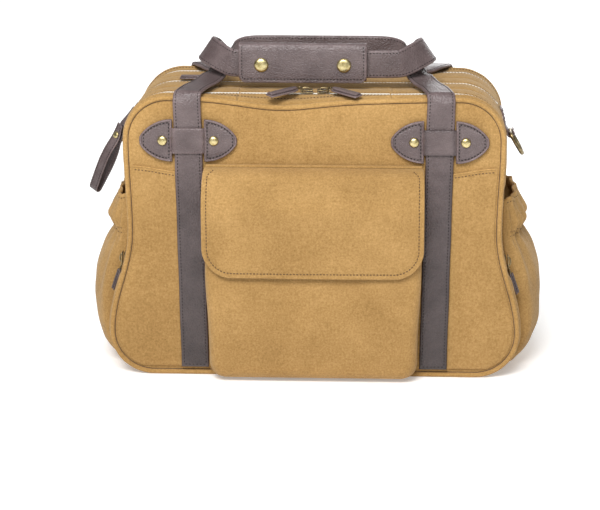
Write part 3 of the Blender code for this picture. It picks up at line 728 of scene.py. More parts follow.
# Each zip: its name, line and half length, then the body and the stitch row on each side of it.
ZIPS = (
    ("front", -ZIP_Y, SHORT_LIP, ("bag", "front_outer"), ("lip_front", "front_inner")),
    ("main", 0.0, LONG_LIP, ("lip_main_front", "main_front"), ("lip_main_rear", "main_rear")),
    ("rear", ZIP_Y, SHORT_LIP, ("lip_rear", "rear_inner"), ("bag", "rear_outer")),
)
SHELL_INSET = 1 * MM
SHELL_EDGE = 90 * MM
SHELL_T = 2.1 * MM
SHELL_STEP = 3.2 * MM
DIVIDER_Y = 33 * MM
MAIN_EDGE = 31.0 * MM               # the middle lips' cut edges, inside the dividers' welts
OUTER_EDGE = 34.6 * MM              # the front and rear lips' cut edges
SIDE_ZIP_Y = -78 * MM
LOOP_Y = -36 * MM


def shell_rise(s, y):
    """How far the cloth stands off the CAD shell: welts, ridges between zips, zip valleys."""
    x, z, _, _ = outline_at(s)
    edge = abs(y)
    top = smoothstep(196 * MM, 236 * MM, z)
    low = smoothstep(12 * MM, 40 * MM, z)
    welt = bell(edge - 83.5 * MM, 4.6 * MM)
    tuck = smoothstep(85.5 * MM, SHELL_EDGE, edge)
    rise = (2.3 * MM * top + 2.6 * MM * (1 - top)) * welt * low - 1.6 * MM * tuck
    side_zip = exp(-((y - SIDE_ZIP_Y) / (9 * MM)) ** 4) * smoothstep(98 * MM, 110 * MM, z)
    side_zip *= 1 - smoothstep(190 * MM, 202 * MM, z)
    rise *= 1 - 0.92 * side_zip
    rise += 1.3 * MM * top * sum(bell(y - middle * MM, 10.5 * MM) for middle in (-50, -17, 17, 50))
    for line in ZIP_LINES:
        open_run = smoothstep(ZIP_END_Z[line] - 6 * MM, ZIP_END_Z[line] + 4 * MM, z)
        rise -= 2.5 * MM * open_run * bell(y - line, 3.1 * MM)
    for line in (-DIVIDER_Y, DIVIDER_Y):
        rise -= 1.1 * MM * top * bell(y - line, 2.4 * MM)
    fold = bumps(x * 0.4, y * 1.5, z * 0.8, 17 * MM, 3.0)
    fine = bumps(x, y, z, 7 * MM, 9.0)
    rise += (0.55 * MM * fold + 0.16 * MM * fine) * low * (1 - tuck)
    by_pocket = z < 222 * MM and edge < 66 * MM
    by_ring = 220 * MM < z < 268 * MM and edge < 16 * MM
    by_loop = x < 0 and 240 * MM < z < 264 * MM and abs(y - LOOP_Y) < 10 * MM
    return min(rise, 1.0 * MM) if by_pocket or by_ring or by_loop else rise


def shell_point(s, y, lift=0.0):
    x, z, _, _ = outline_at(s, SHELL_INSET - shell_rise(s, y) - lift)
    return Vector((x, y, max(z - sag(x, y, z), 0.1 * MM)))


def shell_run(y, stations):
    """Stitch run on the shell, y metres from its middle."""
    run = []
    for s in stations:
        _, _, normal_x, normal_z = outline_at(s)
        run.append((shell_point(s, y, 0.12 * MM), Vector((normal_x, 0.0, normal_z))))
    return run


def shell_patch(name, s_stations, y_stations, skip=None):
    """Cloth patch of the shell between stations, with thickness inwards."""
    verts = [shell_point(s, y) for s in s_stations for y in y_stations]
    faces = []
    for index, face in enumerate(grid_faces(len(s_stations), len(y_stations))):
        i, j = divmod(index, len(y_stations) - 1)
        middle_s = (s_stations[i] + s_stations[i + 1]) / 2
        middle_y = (y_stations[j] + y_stations[j + 1]) / 2
        if skip is None or not skip(middle_s, middle_y):
            faces.append(face)
    used = sorted({i for face in faces for i in face})
    renumber = {old: new for new, old in enumerate(used)}
    mesh = raw_mesh(name, [verts[i] for i in used], [tuple(renumber[i] for i in f) for f in faces])
    piece = finished(name, mesh, CANVAS)
    mesh.update()
    middle = mesh.polygons[len(mesh.polygons) // 2]
    thicken(piece, SHELL_T, middle.normal.dot(Vector((middle.center.x, 0, middle.center.z - HEIGHT / 2))) > 0)
    return piece


def fine_y(low, high):
    """Stations across the shell, finer beside the zips and welts."""
    values = set()
    y = low
    while y < high - 0.4 * MM:
        values.add(round(y, 6))
        near = min([abs(y - line) for line in ZIP_LINES] + [abs(abs(y) - 87 * MM), abs(abs(y) - DIVIDER_Y)])
        y += 0.9 * MM if near < 6 * MM else 2.4 * MM
    values.add(round(high, 6))
    return sorted(values)


def build_gussets():
    """Side walls, from the end of the level top round the shoulder and down under the base."""
    start = SHORT_LIP + 1.8 * MM
    notch = LONG_LIP + 1.6 * MM
    rows = [start + (notch - start) * k / 7 for k in range(7)]
    rows += between(notch, HALF_ROUND - BASE_HALF, SHELL_STEP)
    columns = fine_y(-SHELL_EDGE, -31.2 * MM) + fine_y(-30.6 * MM, 30.6 * MM) + fine_y(31.2 * MM, SHELL_EDGE)
    for side, sign in SIDES:
        piece = shell_patch(f"gusset_cloth_{side}", [sign * s for s in rows], columns,
                            lambda s, y: abs(s) < notch and abs(y) < MAIN_EDGE)
        settle("bag", piece, cad=f"gusset_{side}")


def build_top_cloth():
    """Static strips beside the piping and the four folding lips."""
    near = 0.5 * MM
    short = SHORT_LIP + 1.65 * MM
    long = LONG_LIP + 1.45 * MM
    parts = (
        ("top_cloth_front", "top_strip_front", "bag", -SHELL_EDGE, -ZIP_Y - near, short),
        ("top_cloth_rear", "top_strip_rear", "bag", ZIP_Y + near, SHELL_EDGE, short),
        ("lip_cloth_front", "lip_front", "lip_front", -ZIP_Y + near, -OUTER_EDGE, short),
        ("lip_cloth_main_front", "lip_main_front", "lip_main_front", -MAIN_EDGE, -near, long),
        ("lip_cloth_main_rear", "lip_main_rear", "lip_main_rear", near, MAIN_EDGE, long),
        ("lip_cloth_rear", "lip_rear", "lip_rear", OUTER_EDGE, ZIP_Y - near, short),
    )
    for name, cad, body, low, high, half in parts:
        settle(body, shell_patch(name, between(-half, half, SHELL_STEP), fine_y(low, high)), cad=cad)


def build_divider_cloth():
    """Lining walls between the compartments, each topped by a canvas welt."""
    for side, y in (("front", -DIVIDER_Y), ("rear", DIVIDER_Y)):
        dress(f"divider_{side}", LINING)
        welt = [(x, y, HEIGHT - 2.0 * MM - sag(x, y, HEIGHT)) for x in np.linspace(-75.5 * MM, 75.5 * MM, 60)]
        settle("bag", tube(f"divider_welt_{side}", welt, 1.55 * MM, 10, CANVAS, wobble=0.15))


def build_base():
    """Canvas under the bag; the stiffening board inside keeps its CAD shape."""
    cloth = leaf("base_cloth", lambda u, v: Vector((v, u, 1.3 * MM)), (-BASE_HALF, BASE_HALF), 89.2 * MM,
                 2.2 * MM, across=24, step=8 * MM, flip=True)
    settle("bag", cloth, cad="base_panel")
    dress("base_board", LINING)


def shoulder_stations(half, line, step):
    """Stations down the shoulder, from the end of the level top to the zip's end."""
    gap = np.abs(OUTLINE[:, 1] - ZIP_END_Z[line]) + np.where(OUTLINE[:, 0] < 100 * MM, 1, 0)
    return between(half, RUNS[np.argmin(gap)], step)


def build_zips():
    """Coils and tapes: one half rides each edge; the shoulder parts stay on the bag."""
    tooth = 0.7 * MM
    coil_r = 0.62 * MM
    for name, y, half, before, after in ZIPS:
        for part, body, offset in (("fore", before[0], -1), ("aft", after[0], 1)):
            coil_y = y + offset * coil_r
            path = [Vector((x, coil_y, HEIGHT - 1.75 * MM - sag(x, coil_y, HEIGHT)))
                    for x in between(-half, half, tooth)]
            coil = ridged_tube(f"zip_coil_{name}_{part}", path, coil_r)
            frames = [(Vector((p.x, y + offset * 3.1 * MM, p.z - 1.1 * MM)), SIDEWAYS, UPRIGHT)
                      for p in path[::4] + [path[-1]]]
            tape = band(f"zip_tape_{name}_{part}", frames, 3.0 * MM, 0.5 * MM, TAPE, across=4)
            settle(body, coil, tape)
        for side, sign in SIDES:
            path = [shell_point(sign * s, y, 1.3 * MM) for s in shoulder_stations(half + 1.0 * MM, y, tooth)]
            settle("bag", ridged_tube(f"zip_coil_{name}_{side}", path, 1.45 * MM, flat=0.8))


def build_shell_stitches():
    """Topstitching beside the piping and along the zips."""
    reach = HALF_ROUND - BASE_HALF
    step = 3 * MM
    flange_row = 79.5 * MM
    runs = [shell_run(sign * flange_row, between(-reach, reach, step)) for _, sign in SIDES]
    settle("bag", sew("flange_stitches", runs, BROWN_THREAD))
    for _, line, half, before, after in ZIPS:
        for (body, row), offset in ((before, -4.6 * MM), (after, 4.6 * MM)):
            y = line + offset
            run = shell_run(y, between(-half, half, step))
            settle(body, sew(f"zip_stitches_{row}", [run], TAN_THREAD, radius=0.3 * MM))
            stations = shoulder_stations(half + 1.5 * MM, line, step)
            runs = [shell_run(y, [sign * s for s in stations]) for _, sign in SIDES]
            settle("bag", sew(f"shoulder_stitches_{row}", runs, TAN_THREAD, radius=0.3 * MM))


# ---------------------------------------------------------------- panels and piping
def panel_y(x, z):
    """Depth of the panel's outer face from the bag's middle: seam dip, soft swell, wrinkles."""
    edge = depth_inside(x, z)
    face = 92.6 * MM + 1.35 * MM * smoothstep(4.5 * MM, 12 * MM, edge)
    wave = 0.32 * MM * bumps(x, 0.3, z, 34 * MM, 1.0) + 0.12 * MM * bumps(x, 0.3, z, 11 * MM, 5.0)
    return face + wave * smoothstep(10 * MM, 45 * MM, edge) - 0.1 * MM


def panel_rows(low, high):
    """Heights of the panel's rows, closer together at the rounded corners."""
    turns = [pi / 2 * k / 12 for k in range(13)]
    rows = [low + (R_CORNER - low) * (1 - cos(a)) for a in turns]
    rows += between(R_CORNER, SHOULDER_Z, SHELL_STEP)[1:-1]
    return rows + [high - (high - SHOULDER_Z) * (1 - sin(a)) for a in turns]


def build_panels():
    """Front and rear panels: a grid that follows the outline, closed round its border."""
    inset = 4.6 * MM
    columns = 110
    back = 91.0 * MM
    width = columns + 1
    rows = panel_rows(inset, HEIGHT - inset)
    count = len(rows)
    border = list(range(width)) + [r * width + columns for r in range(1, count)]
    border += [(count - 1) * width + k for k in reversed(range(columns))]
    border += [r * width for r in reversed(range(1, count - 1))]
    for side, facing in (("front", -1), ("rear", 1)):
        tops, bottoms = [], []
        for z in rows:
            half = side_at(z, inset)
            for k in range(width):
                t = 2 * k / columns - 1
                x = half * (0.35 * sin(pi / 2 * t) + 0.65 * t)
                height = z - sag(x, facing * FRONT, z)
                tops.append((x, facing * panel_y(x, z), height))
                bottoms.append((x, facing * back, height))
        offset = len(tops)
        faces = grid_faces(count, width)
        faces += [tuple(offset + i for i in reversed(f)) for f in faces]
        faces += [(a, b, offset + b, offset + a) for a, b in zip(border, border[1:] + border[:1])]
        settle("bag", make_piece(f"{side}_cloth", tops + bottoms, faces, CANVAS), cad=f"{side}_panel")


def build_piping():
    """Covered cord round each panel, and a dark thread-coloured tube just inside it: painted shade in the
    seam's groove.
    """
    for side, facing in (("front", -1), ("rear", 1)):
        path, seam = [], []
        for s in np.linspace(-HALF_ROUND, HALF_ROUND, 420)[:-1]:
            x, z, _, _ = outline_at(s, PIPE_R)
            path.append((x, facing * PIPE_Y, max(z - sag(x, facing * FRONT, z), PIPE_R)))
        # The tube just inside the cord is painted shade where the seam's groove falls dark.
        for s in np.linspace(-HALF_ROUND, HALF_ROUND, 360)[:-1]:
            x, z, _, _ = outline_at(s, 2 * PIPE_R + 0.1 * MM)
            seam.append((x, facing * (panel_y(x, z) + 0.05 * MM), z - sag(x, facing * FRONT, z)))
        cord = tube(f"{side}_pipe", path, PIPE_R, 12, CANVAS, closed=True, wobble=0.10)
        line = tube(f"{side}_pipe_painted_shade", seam, 0.55 * MM, 6, BROWN_THREAD, closed=True)
        settle("bag", cord, line, cad=f"{side}_piping")


def slip_surface(u, v):
    """Second layer on the front panel; its hem rises towards the sides."""
    hem = HEM_Z - 2.5 * MM + 6.5 * MM * smoothstep(128 * MM, 182 * MM, abs(u))
    z = v + (hem - HEM_Z) * smoothstep(150 * MM, HEM_Z, v)
    depth = panel_y(u, z) + 0.75 * MM + 0.25 * MM * bumps(u, 0.0, z, 30 * MM, 7.0)
    return Vector((u, -min(depth, 94.9 * MM), z))


def build_slip_pocket():
    """The front panel's second layer, its rolled hem and the stitches beside the straps."""
    cloth = leaf("slip_pocket", slip_surface, (9 * MM, HEM_Z), lambda v: side_at(v, 7.5 * MM), 1.1 * MM,
                 across=90, step=SHELL_STEP)
    fold = [slip_surface(x, HEM_Z - 0.9 * MM) + Vector((0, -0.35 * MM, 0))
            for x in np.linspace(-181 * MM, 181 * MM, 160)]
    hem = tube("slip_pocket_hem", fold, 0.85 * MM, 8, CANVAS, wobble=0.25)
    runs = []
    for _, sign in SIDES:
        places = [(sign * x, HEM_Z - 4.2 * MM) for x in np.linspace(112 * MM, 180 * MM, 24)]
        runs.append(seam_run(slip_surface, places, 0.75 * MM))
    settle("bag", cloth, hem, sew("slip_pocket_stitches", runs, BROWN_THREAD))


# ---------------------------------------------------------------- straps, tabs, rivets
STITCH_INSET = 2.9 * MM


def strap_x(z):
    """Centre line of a front strap at height z."""
    low, high = STRIP_BOX
    t = (z - low.z) / (high.z - low.z)
    bottom = low.x + STRIP_W / 2
    return bottom + (high.x - STRIP_W / 2 - bottom) * t


def build_strips():
    """Leather strips up both faces, stitched along their edges and across their feet."""
    row = STRIP_W / 2 - STITCH_INSET
    lift = STRIP_T / 2 - 0.12 * MM
    for face, facing in FACES:
        across = Vector((facing, 0, 0))
        out = Vector((0, -facing, 0))
        for side, sign in SIDES:
            frames = []
            for z in np.linspace(STRIP_LOW, TAB_Z + 1 * MM, 60):
                wave = 0.12 * MM * sin(z * 90 + sign)
                frames.append((Vector((sign * strap_x(z) + wave, facing * STRIP_Y, z)), across, out))
            strip = band(f"{face}_strap_{side}", frames, STRIP_W / 2, STRIP_T, across=10, groove=STITCH_INSET,
                         rough=0.12 * MM)
            runs = [band_seam(frames, edge * row, lift, STITCH_INSET) for edge in (-1, 1)]
            foot = Vector((sign * strap_x(STRIP_LOW), facing * STRIP_Y, STRIP_LOW + STITCH_INSET))
            runs.append([(foot + out * lift + Vector((u, 0, 0)), out) for u in np.linspace(-row, row, 10)])
            threads = sew(f"{face}_strap_stitches_{side}", runs, DARK_THREAD)
            settle("bag", strip, threads, cad=f"{face}_strip_{side}")


LOBE_START = STRIP_W / 2 + 1.9 * MM
LOBE_LENGTH = TAB_HALF - LOBE_START
PLATE_T = 2.4 * MM
PLATE_Y = -(FRONT + 0.3 * MM + PLATE_T / 2)


def lobe_half(v):
    """Half height of a tab's lobe, v metres from its inner edge."""
    t = min(max(v / LOBE_LENGTH, 0.0), 1.0)
    return 21.3 * MM * max(1 - t ** 2.05, 0.0) ** 0.68 + 0.25 * MM


def lobe_run(start, inset, tip):
    """Closed run of (v, height) inside a lobe's edge."""
    upper = []
    for t in np.linspace(0.0, 1.0, 50):
        v = start * (1 - t) + t * (LOBE_LENGTH - tip)
        upper.append((v, max(lobe_half(v) - inset, 0.0)))
    return upper + [(v, -h) for v, h in reversed(upper)] + [upper[0]]


def bridge_frames(middle, facing):
    """Path of the tab's band: flat on each lobe, stepping up and over the strap."""
    high = facing * (STRIP_Y - STRIP_T / 2 - 0.3 * MM - 1.15 * MM)
    low = facing * (PLATE_Y - 0.9 * MM)
    points = []
    for t in np.linspace(-1, 1, 41):
        x = t * 17.6 * MM
        rise = 1 - smoothstep(13.6 * MM, 16.6 * MM, abs(x))
        points.append((middle + x, low + (high - low) * rise, TAB_Z))
    frames = path_frames(points, (0, 0, facing))
    return [(c, UPRIGHT, n if n.y * facing < 0 else -n) for c, _, n in frames]


def build_tabs():
    """Two stitched lobes with raised rims, the narrow band that bridges the strap, and two rivets."""
    for face, facing in FACES:
        out = Vector((0, -facing, 0))
        for side, sign in SIDES:
            middle = sign * TAB_X
            pieces = []
            runs = []
            for way in (-1, 1):
                seat = Vector((middle + way * LOBE_START, facing * PLATE_Y, TAB_Z))

                def on_lobe(lift, *shape):
                    return [seat + Vector((way * v, 0, h)) + out * lift for v, h in lobe_run(*shape)]

                frames = [(seat + Vector((way * v, 0, 0)), UPRIGHT, out)
                          for v in np.linspace(0, LOBE_LENGTH, 24)]
                pieces.append(band("lobe", frames, lobe_half, PLATE_T, across=16, step=1.3 * MM,
                                   groove=3.3 * MM, rough=0.10 * MM, crown=0.35 * MM))
                rim = on_lobe(PLATE_T / 2 - 0.15 * MM, 1.2 * MM, 1.3 * MM, 1.6 * MM)[:-1]
                pieces.append(tube("rim", rim, 1.15 * MM, 8, LEATHER, closed=True, wobble=0.06))
                row = on_lobe(PLATE_T / 2 + 0.12 * MM, 3.3 * MM, 3.4 * MM, 4.6 * MM)
                runs.append([(p, out) for p in row])
            pieces.append(band("bridge", bridge_frames(middle, facing), 13.0 * MM, 2.3 * MM, across=12,
                               step=1.6 * MM, rough=0.12 * MM))
            tab = join(f"{face}_tab_leather_{side}", pieces)
            threads = sew(f"{face}_tab_stitches_{side}", runs, DARK_THREAD, radius=0.5 * MM)
            settle("bag", tab, threads, cad=f"{face}_tab_{side}")
            for place in ("outer", "inner"):
                cad = f"front_rivet_{side}_{place}"
                low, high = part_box(cad)
                base = ((low.x + high.x) / 2, facing * high.y, TAB_Z)
                cap = domed(f"{face}_rivet_cap_{side}_{place}", base, out, 5.0 * MM, 2.9 * MM)
                settle("bag", cap, cad=cad if face == "front" else None)


# ---------------------------------------------------------------- flap pocket
POCKET_T = 2.2 * MM
MAGNET_Z = (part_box("pocket_magnet")[0].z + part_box("pocket_magnet")[1].z) / 2
POCKET_ROUND = 11 * MM
POCKET_SIDE = POCKET_HIGH.x - POCKET_T / 2
POCKET_FACE = -POCKET_LOW.y - POCKET_T / 2
POCKET_BACK = FRONT + 0.9 * MM
POCKET_FOOT = POCKET_LOW.z + 1.2 * MM
POCKET_FRONT_TOP = 186 * MM
POCKET_FLAT = POCKET_SIDE - POCKET_ROUND
POCKET_BEND = pi / 2 * POCKET_ROUND
POCKET_WING = POCKET_FACE - POCKET_ROUND - POCKET_BACK
POCKET_RUN = POCKET_FLAT + POCKET_BEND + POCKET_WING


def pocket_plan(u):
    """The wall from above, u metres from its front middle: x, depth, normal, share of its wing."""
    sign = 1.0 if u >= 0 else -1.0
    run = abs(u)
    if run < POCKET_FLAT:
        return sign * run, POCKET_FACE, (0.0, -1.0), 0.0
    if run < POCKET_FLAT + POCKET_BEND:
        a = (run - POCKET_FLAT) / POCKET_ROUND
        x = POCKET_FLAT + POCKET_ROUND * sin(a)
        return sign * x, POCKET_FACE - POCKET_ROUND * (1 - cos(a)), (sign * sin(a), -cos(a)), 0.0
    back = run - POCKET_FLAT - POCKET_BEND
    return sign * POCKET_SIDE, POCKET_FACE - POCKET_ROUND - back, (sign, 0.0), back / POCKET_WING


def pocket_surface(u, v):
    """Wall of the bellows pocket: v is the height on its front face."""
    x, depth, normal, back = pocket_plan(max(min(u, POCKET_RUN), -POCKET_RUN))
    roll = 11 * MM
    inset = 0.0
    z = v
    if v < POCKET_FOOT + roll:
        a = pi / 2 * (1 - (v - POCKET_FOOT) / roll)
        inset = roll * (1 - cos(a))
        z = POCKET_FOOT + roll * (1 - sin(a))
    depth_share = (POCKET_FACE - depth) / (POCKET_FACE - POCKET_BACK)
    z += (POCKET_HIGH.z - POCKET_FRONT_TOP) * depth_share * smoothstep(60 * MM, POCKET_FRONT_TOP, v)
    crease = 5.5 * MM * smoothstep(20 * MM, 90 * MM, v) * sin(pi * min(max(back, 0.0), 1.0)) ** 2
    pillow = 3.0 * MM * bell(v - 58 * MM, 34 * MM) * cos(min(abs(x) / POCKET_SIDE, 1) * pi / 2)
    pillow += 0.35 * MM * bumps(x, 0.1, v, 24 * MM, 2.0) if back <= 0 else 0.0
    calm = bell(hypot(x, v - MAGNET_Z), 12 * MM)
    pillow = pillow * (1 - calm) - 0.35 * MM * calm
    shift = pillow * smoothstep(0.3, 0.95, -normal[1]) - inset - crease
    flare = 5.0 * MM * bell(v - 112 * MM, 48 * MM)
    flare -= 4.5 * MM * (1 - smoothstep(0.0, 16 * MM, v - POCKET_FOOT))
    flare *= (1 - smoothstep(0.1, 0.9, depth_share)) * smoothstep(60 * MM, POCKET_SIDE, abs(x))
    flare *= 1 if x >= 0 else -1
    return Vector((x + normal[0] * shift + flare, -(depth - normal[1] * shift), z))


def build_pocket():
    """Bellows pocket with its floor; both halves of the magnet snap keep their CAD shapes."""
    wall = leaf("pocket_wall", pocket_surface, (POCKET_FOOT, POCKET_FRONT_TOP), POCKET_RUN, POCKET_T,
                across=110, step=3.2 * MM, rough=0.14 * MM)
    under = leaf("pocket_floor", lambda u, v: Vector((u, -v, POCKET_FOOT)),
                 (POCKET_BACK, POCKET_FACE - 10.5 * MM), POCKET_SIDE - 11 * MM, POCKET_T, 20, 5 * MM)
    settle("bag", wall, under, cad="front_pocket")
    for name in ("pocket_magnet", "flap_magnet"):
        dress(name, ANTIQUE)


FLAP_T = 2.5 * MM
FLAP_ROUND = 30 * MM
FLAP_INSET = 5.2 * MM               # of the stitch row


def flap_path():
    """The flap's middle layer from its seam to its free edge, as (y, z)."""
    front = FLAP_LOW.y + 1.3 * MM
    seam_y, seam_z = -99.5 * MM, 216.3 * MM
    knots = [(seam_y, seam_z), (seam_y - 11 * MM, seam_z - 4.6 * MM),
             (seam_y - 20.6 * MM, seam_z - 15.6 * MM), (front - 0.2 * MM, seam_z - 33 * MM),
             (front, 160 * MM), (front + 0.4 * MM, 130 * MM), (front + 0.2 * MM, FLAP_LOW.z)]
    return smooth_path([(0.0, y, z) for y, z in knots], 10)


FLAP_POINTS = flap_path()
FLAP_RUNS = lengths_of(FLAP_POINTS)
FLAP_LENGTH = float(FLAP_RUNS[-1])
FLAP_TABLE = np.array([list(p) for p in FLAP_POINTS])


def flap_half(v):
    """Half width of the flap at length v: pinched at its seam, rounded at its free corners."""
    half = FLAP_HIGH.x - 1.8 * MM * exp(-v / (9 * MM))
    left = FLAP_LENGTH - v
    if left < FLAP_ROUND:
        half -= FLAP_ROUND - sqrt(max(FLAP_ROUND ** 2 - (FLAP_ROUND - left) ** 2, 0.0))
    return half


def flap_surface(u, v):
    """The flap's middle layer: v runs from its seam to its free edge."""
    clipped = min(max(v, 0.0), FLAP_LENGTH)
    y, z = (float(np.interp(clipped, FLAP_RUNS, FLAP_TABLE[:, k])) for k in (1, 2))
    z -= v - clipped
    loose = smoothstep(10 * MM, 50 * MM, v)
    swell = 1.3 * MM * cos(min(abs(u) / FLAP_HIGH.x, 1.0) * pi / 2)
    swell += 0.9 * MM * bumps(u, 0.0, z, 42 * MM, 4.0) + 0.25 * MM * bumps(u, 0.0, z, 13 * MM, 8.0)
    crease_line = abs(u) - (FLAP_HIGH.x - 3 * MM - 0.62 * (v - 2 * MM))
    pinch = bell(crease_line, 2.2 * MM) * smoothstep(2 * MM, 6 * MM, v)
    pinch *= 1 - smoothstep(17 * MM, 26 * MM, v)
    curl = 0.54 * MM * smoothstep(0.75, 1.0, abs(u) / max(flap_half(clipped), 1e-4))
    return Vector((u, y + (curl - swell) * loose - 0.9 * MM * pinch, z + 0.4 * MM * pinch))


def flap_outline():
    """Stitch path round the flap, the same distance in from its edge all the way."""
    side = FLAP_HIGH.x - FLAP_INSET
    radius = FLAP_ROUND - FLAP_INSET
    level = FLAP_LENGTH - FLAP_ROUND
    left = [(6 * MM * bell(v - 7 * MM, 5 * MM) - side, v) for v in between(7 * MM, level, 3 * MM)]
    turn = np.linspace(0, pi / 2, 14)[1:]
    left += [(-(side - radius + radius * cos(a)), level + radius * sin(a)) for a in turn]
    low = left[-1][0]
    bottom = [(u, FLAP_LENGTH - FLAP_INSET) for u in between(low, -low, 4 * MM)[1:-1]]
    return left + bottom + [(-u, v) for u, v in reversed(left)]


def build_flap():
    """Pocket flap with its stitch row, and the rolled seat that it hangs from."""
    flap = leaf("flap_cloth", flap_surface, (0.0, FLAP_LENGTH), flap_half, FLAP_T, across=84, step=2.4 * MM,
                groove=FLAP_INSET, rough=0.10 * MM)
    run = seam_run(flap_surface, flap_outline(), FLAP_T / 2 + 0.30 * MM)
    threads = sew("flap_stitches", [run], BROWN_THREAD, radius=0.55 * MM)
    settle("pocket_flap", flap, threads, cad="pocket_flap")
    seat = [(0.0, -94.6 * MM, 218.0 * MM), (0.0, -96.6 * MM, 218.2 * MM), (0.0, -99.0 * MM, 216.9 * MM)]
    settle("bag", band("flap_seat", path_frames(smooth_path(seat, 4), (1, 0, 0)), FLAP_HIGH.x - 2.5 * MM,
                       2.0 * MM, CANVAS, across=60, step=1.0 * MM, rough=0.2 * MM))


# ---------------------------------------------------------------- side pockets
# Height and reach of the pouch down its middle, in millimetres.
POCKET_KNOTS = ((6, 208), (20, 223), (45, 232), (75, 234), (100, 232), (120, 225), (135, 215), (150, 218),
                (165, 215), (180, 209))
POUCH_HALF = 61.5 * MM
POUCH_LOW = 7 * MM


def side_pocket_point(sign, angle, z):
    """Gathered pouch: full below with soft drapes, drawn in by the elastic, a narrow ruffle above."""
    heights, reaches = ([k[n] * MM for k in POCKET_KNOTS] for n in (0, 1))
    curve = np.interp([z - 5 * MM, z, z + 5 * MM], heights, reaches).mean()
    wall = side_at(z) + 0.8 * MM
    full = sin(angle)
    inside = smoothstep(0.0, 0.35, full)
    mouth = smoothstep(150 * MM, 178 * MM, z)
    reach = max(curve - 1.1 * MM - wall, 1 * MM)
    reach -= 5.0 * MM * bell(z - 142 * MM, 8 * MM) * smoothstep(0.1, 0.6, full)
    reach *= (1 - 0.22 * mouth) * (full ** 0.6 if full > 0 else 0.0)
    gather = bell(z - 145 * MM, 17 * MM) + 0.7 * smoothstep(138 * MM, 158 * MM, z)
    phase = angle * 19 + 1.5 * sin(z * 60)
    ripple = 1.6 * MM * gather * (sin(phase) + 0.35 * sin(0.53 * phase + 1.0))
    fold = 1.5 * MM * bumps(angle * 0.02, z * 0.35, sign * 0.1, 10 * MM, 6.0)
    fold *= smoothstep(12 * MM, 40 * MM, z)
    drape = 4.2 * MM * bell(z - 112 * MM, 36 * MM) * (0.5 + 0.5 * sin(angle * 7.5 + 0.8 + 6 * z)) ** 2
    lift = 1.3 * MM * mouth * sin(0.5 * phase + sign)
    x = wall + reach + (ripple + fold - drape) * inside
    return Vector((sign * x, POUCH_HALF * cos(angle), z + lift))


def build_side_pockets():
    """Gathered pouches on the gussets, closed below, with two elastic rows and a hem row."""
    angles = np.linspace(0, pi, 121)
    levels = between(POUCH_LOW, 179.3 * MM, 2.6 * MM)
    for side, sign in SIDES:
        verts = [side_pocket_point(sign, angle, z) for z in levels for angle in angles]
        faces = grid_faces(len(levels), len(angles))
        foot = len(verts)
        low = side_at(POUCH_LOW) + 0.8 * MM
        verts += [Vector((sign * low, POUCH_HALF * cos(a), POUCH_LOW)) for a in angles]
        faces += [(k + 1, k, foot + k, foot + k + 1) for k in range(len(angles) - 1)]
        piece = make_piece(f"side_pocket_cloth_{side}", verts, faces, CANVAS, 0.05 * MM)
        face = min(piece.data.polygons, key=lambda p: (p.center - Vector((sign * 0.233, 0, 0.075))).length)
        thicken(piece, 2.0 * MM, face.normal.x * sign > 0)
        runs = []
        for z in (140 * MM, 144.5 * MM, 175 * MM):
            run = []
            for angle in np.linspace(0.12, pi - 0.12, 70):
                normal = Vector((sign * sin(angle), 0.8 * cos(angle), 0)).normalized()
                run.append((side_pocket_point(sign, angle, z) + normal * 0.1 * MM, normal))
            runs.append(run)
        threads = sew(f"side_pocket_stitches_{side}", runs, BROWN_THREAD)
        settle("bag", piece, threads, cad=f"side_pocket_{side}")


# ---------------------------------------------------------------- handles
HANDLE_T = 3.5 * MM
# Left halves of the routes, from the piping to the middle of the grip, in millimetres.
FRONT_ROUTE = (
    (-125.0, -92.0, 291.0), (-120.0, -70.0, 292.5), (-111.5, -48.0, 294.0), (-104.5, -30.0, 298.5),
    (-100.0, -16.0, 305.5), (-101.0, -6.5, 313.0), (-107.5, -6.0, 320.0), (-112.5, -15.0, 324.0),
    (-110.0, -27.0, 323.5), (-100.5, -39.0, 320.0), (-90.0, -46.0, 315.5), (-80.0, -48.0, 313.5),
    (-40.0, -48.0, 313.0), (0.0, -48.0, 313.0),
)
REAR_ROUTE = (
    (-125.0, -92.0, 291.0), (-119.0, -72.0, 292.5), (-110.0, -56.0, 294.0), (-99.0, -44.0, 299.5),
    (-89.0, -36.0, 307.0), (-79.0, -32.0, 313.5), (-68.0, -30.5, 316.0), (-50.0, -30.0, 316.5),
    (-20.0, -30.0, 316.5), (0.0, -30.0, 316.5),
)
# How far the strap has turned on its edge, in degrees, at places counted in the route's points.
FRONT_TURNS = ((0.0, 0), (2.75, 0), (4.0, 30), (5.0, 75), (6.0, 115), (7.0, 125), (8.0, 122),
               (9.0, 108), (10.0, 96), (11.0, 90), (13.0, 90))
REAR_TURNS = ((0.0, 0), (1.25, 0), (3.0, 35), (4.0, 60), (5.0, 82), (6.0, 90), (9.0, 90))


def turn_at(knots, place):
    """Angle in radians at a place on the route, eased between the knots."""
    for (p0, a0), (p1, a1) in zip(knots, knots[1:]):
        if place <= p1:
            return radians(a0 + (a1 - a0) * smoothstep(p0, p1, place))
    return radians(knots[-1][1])


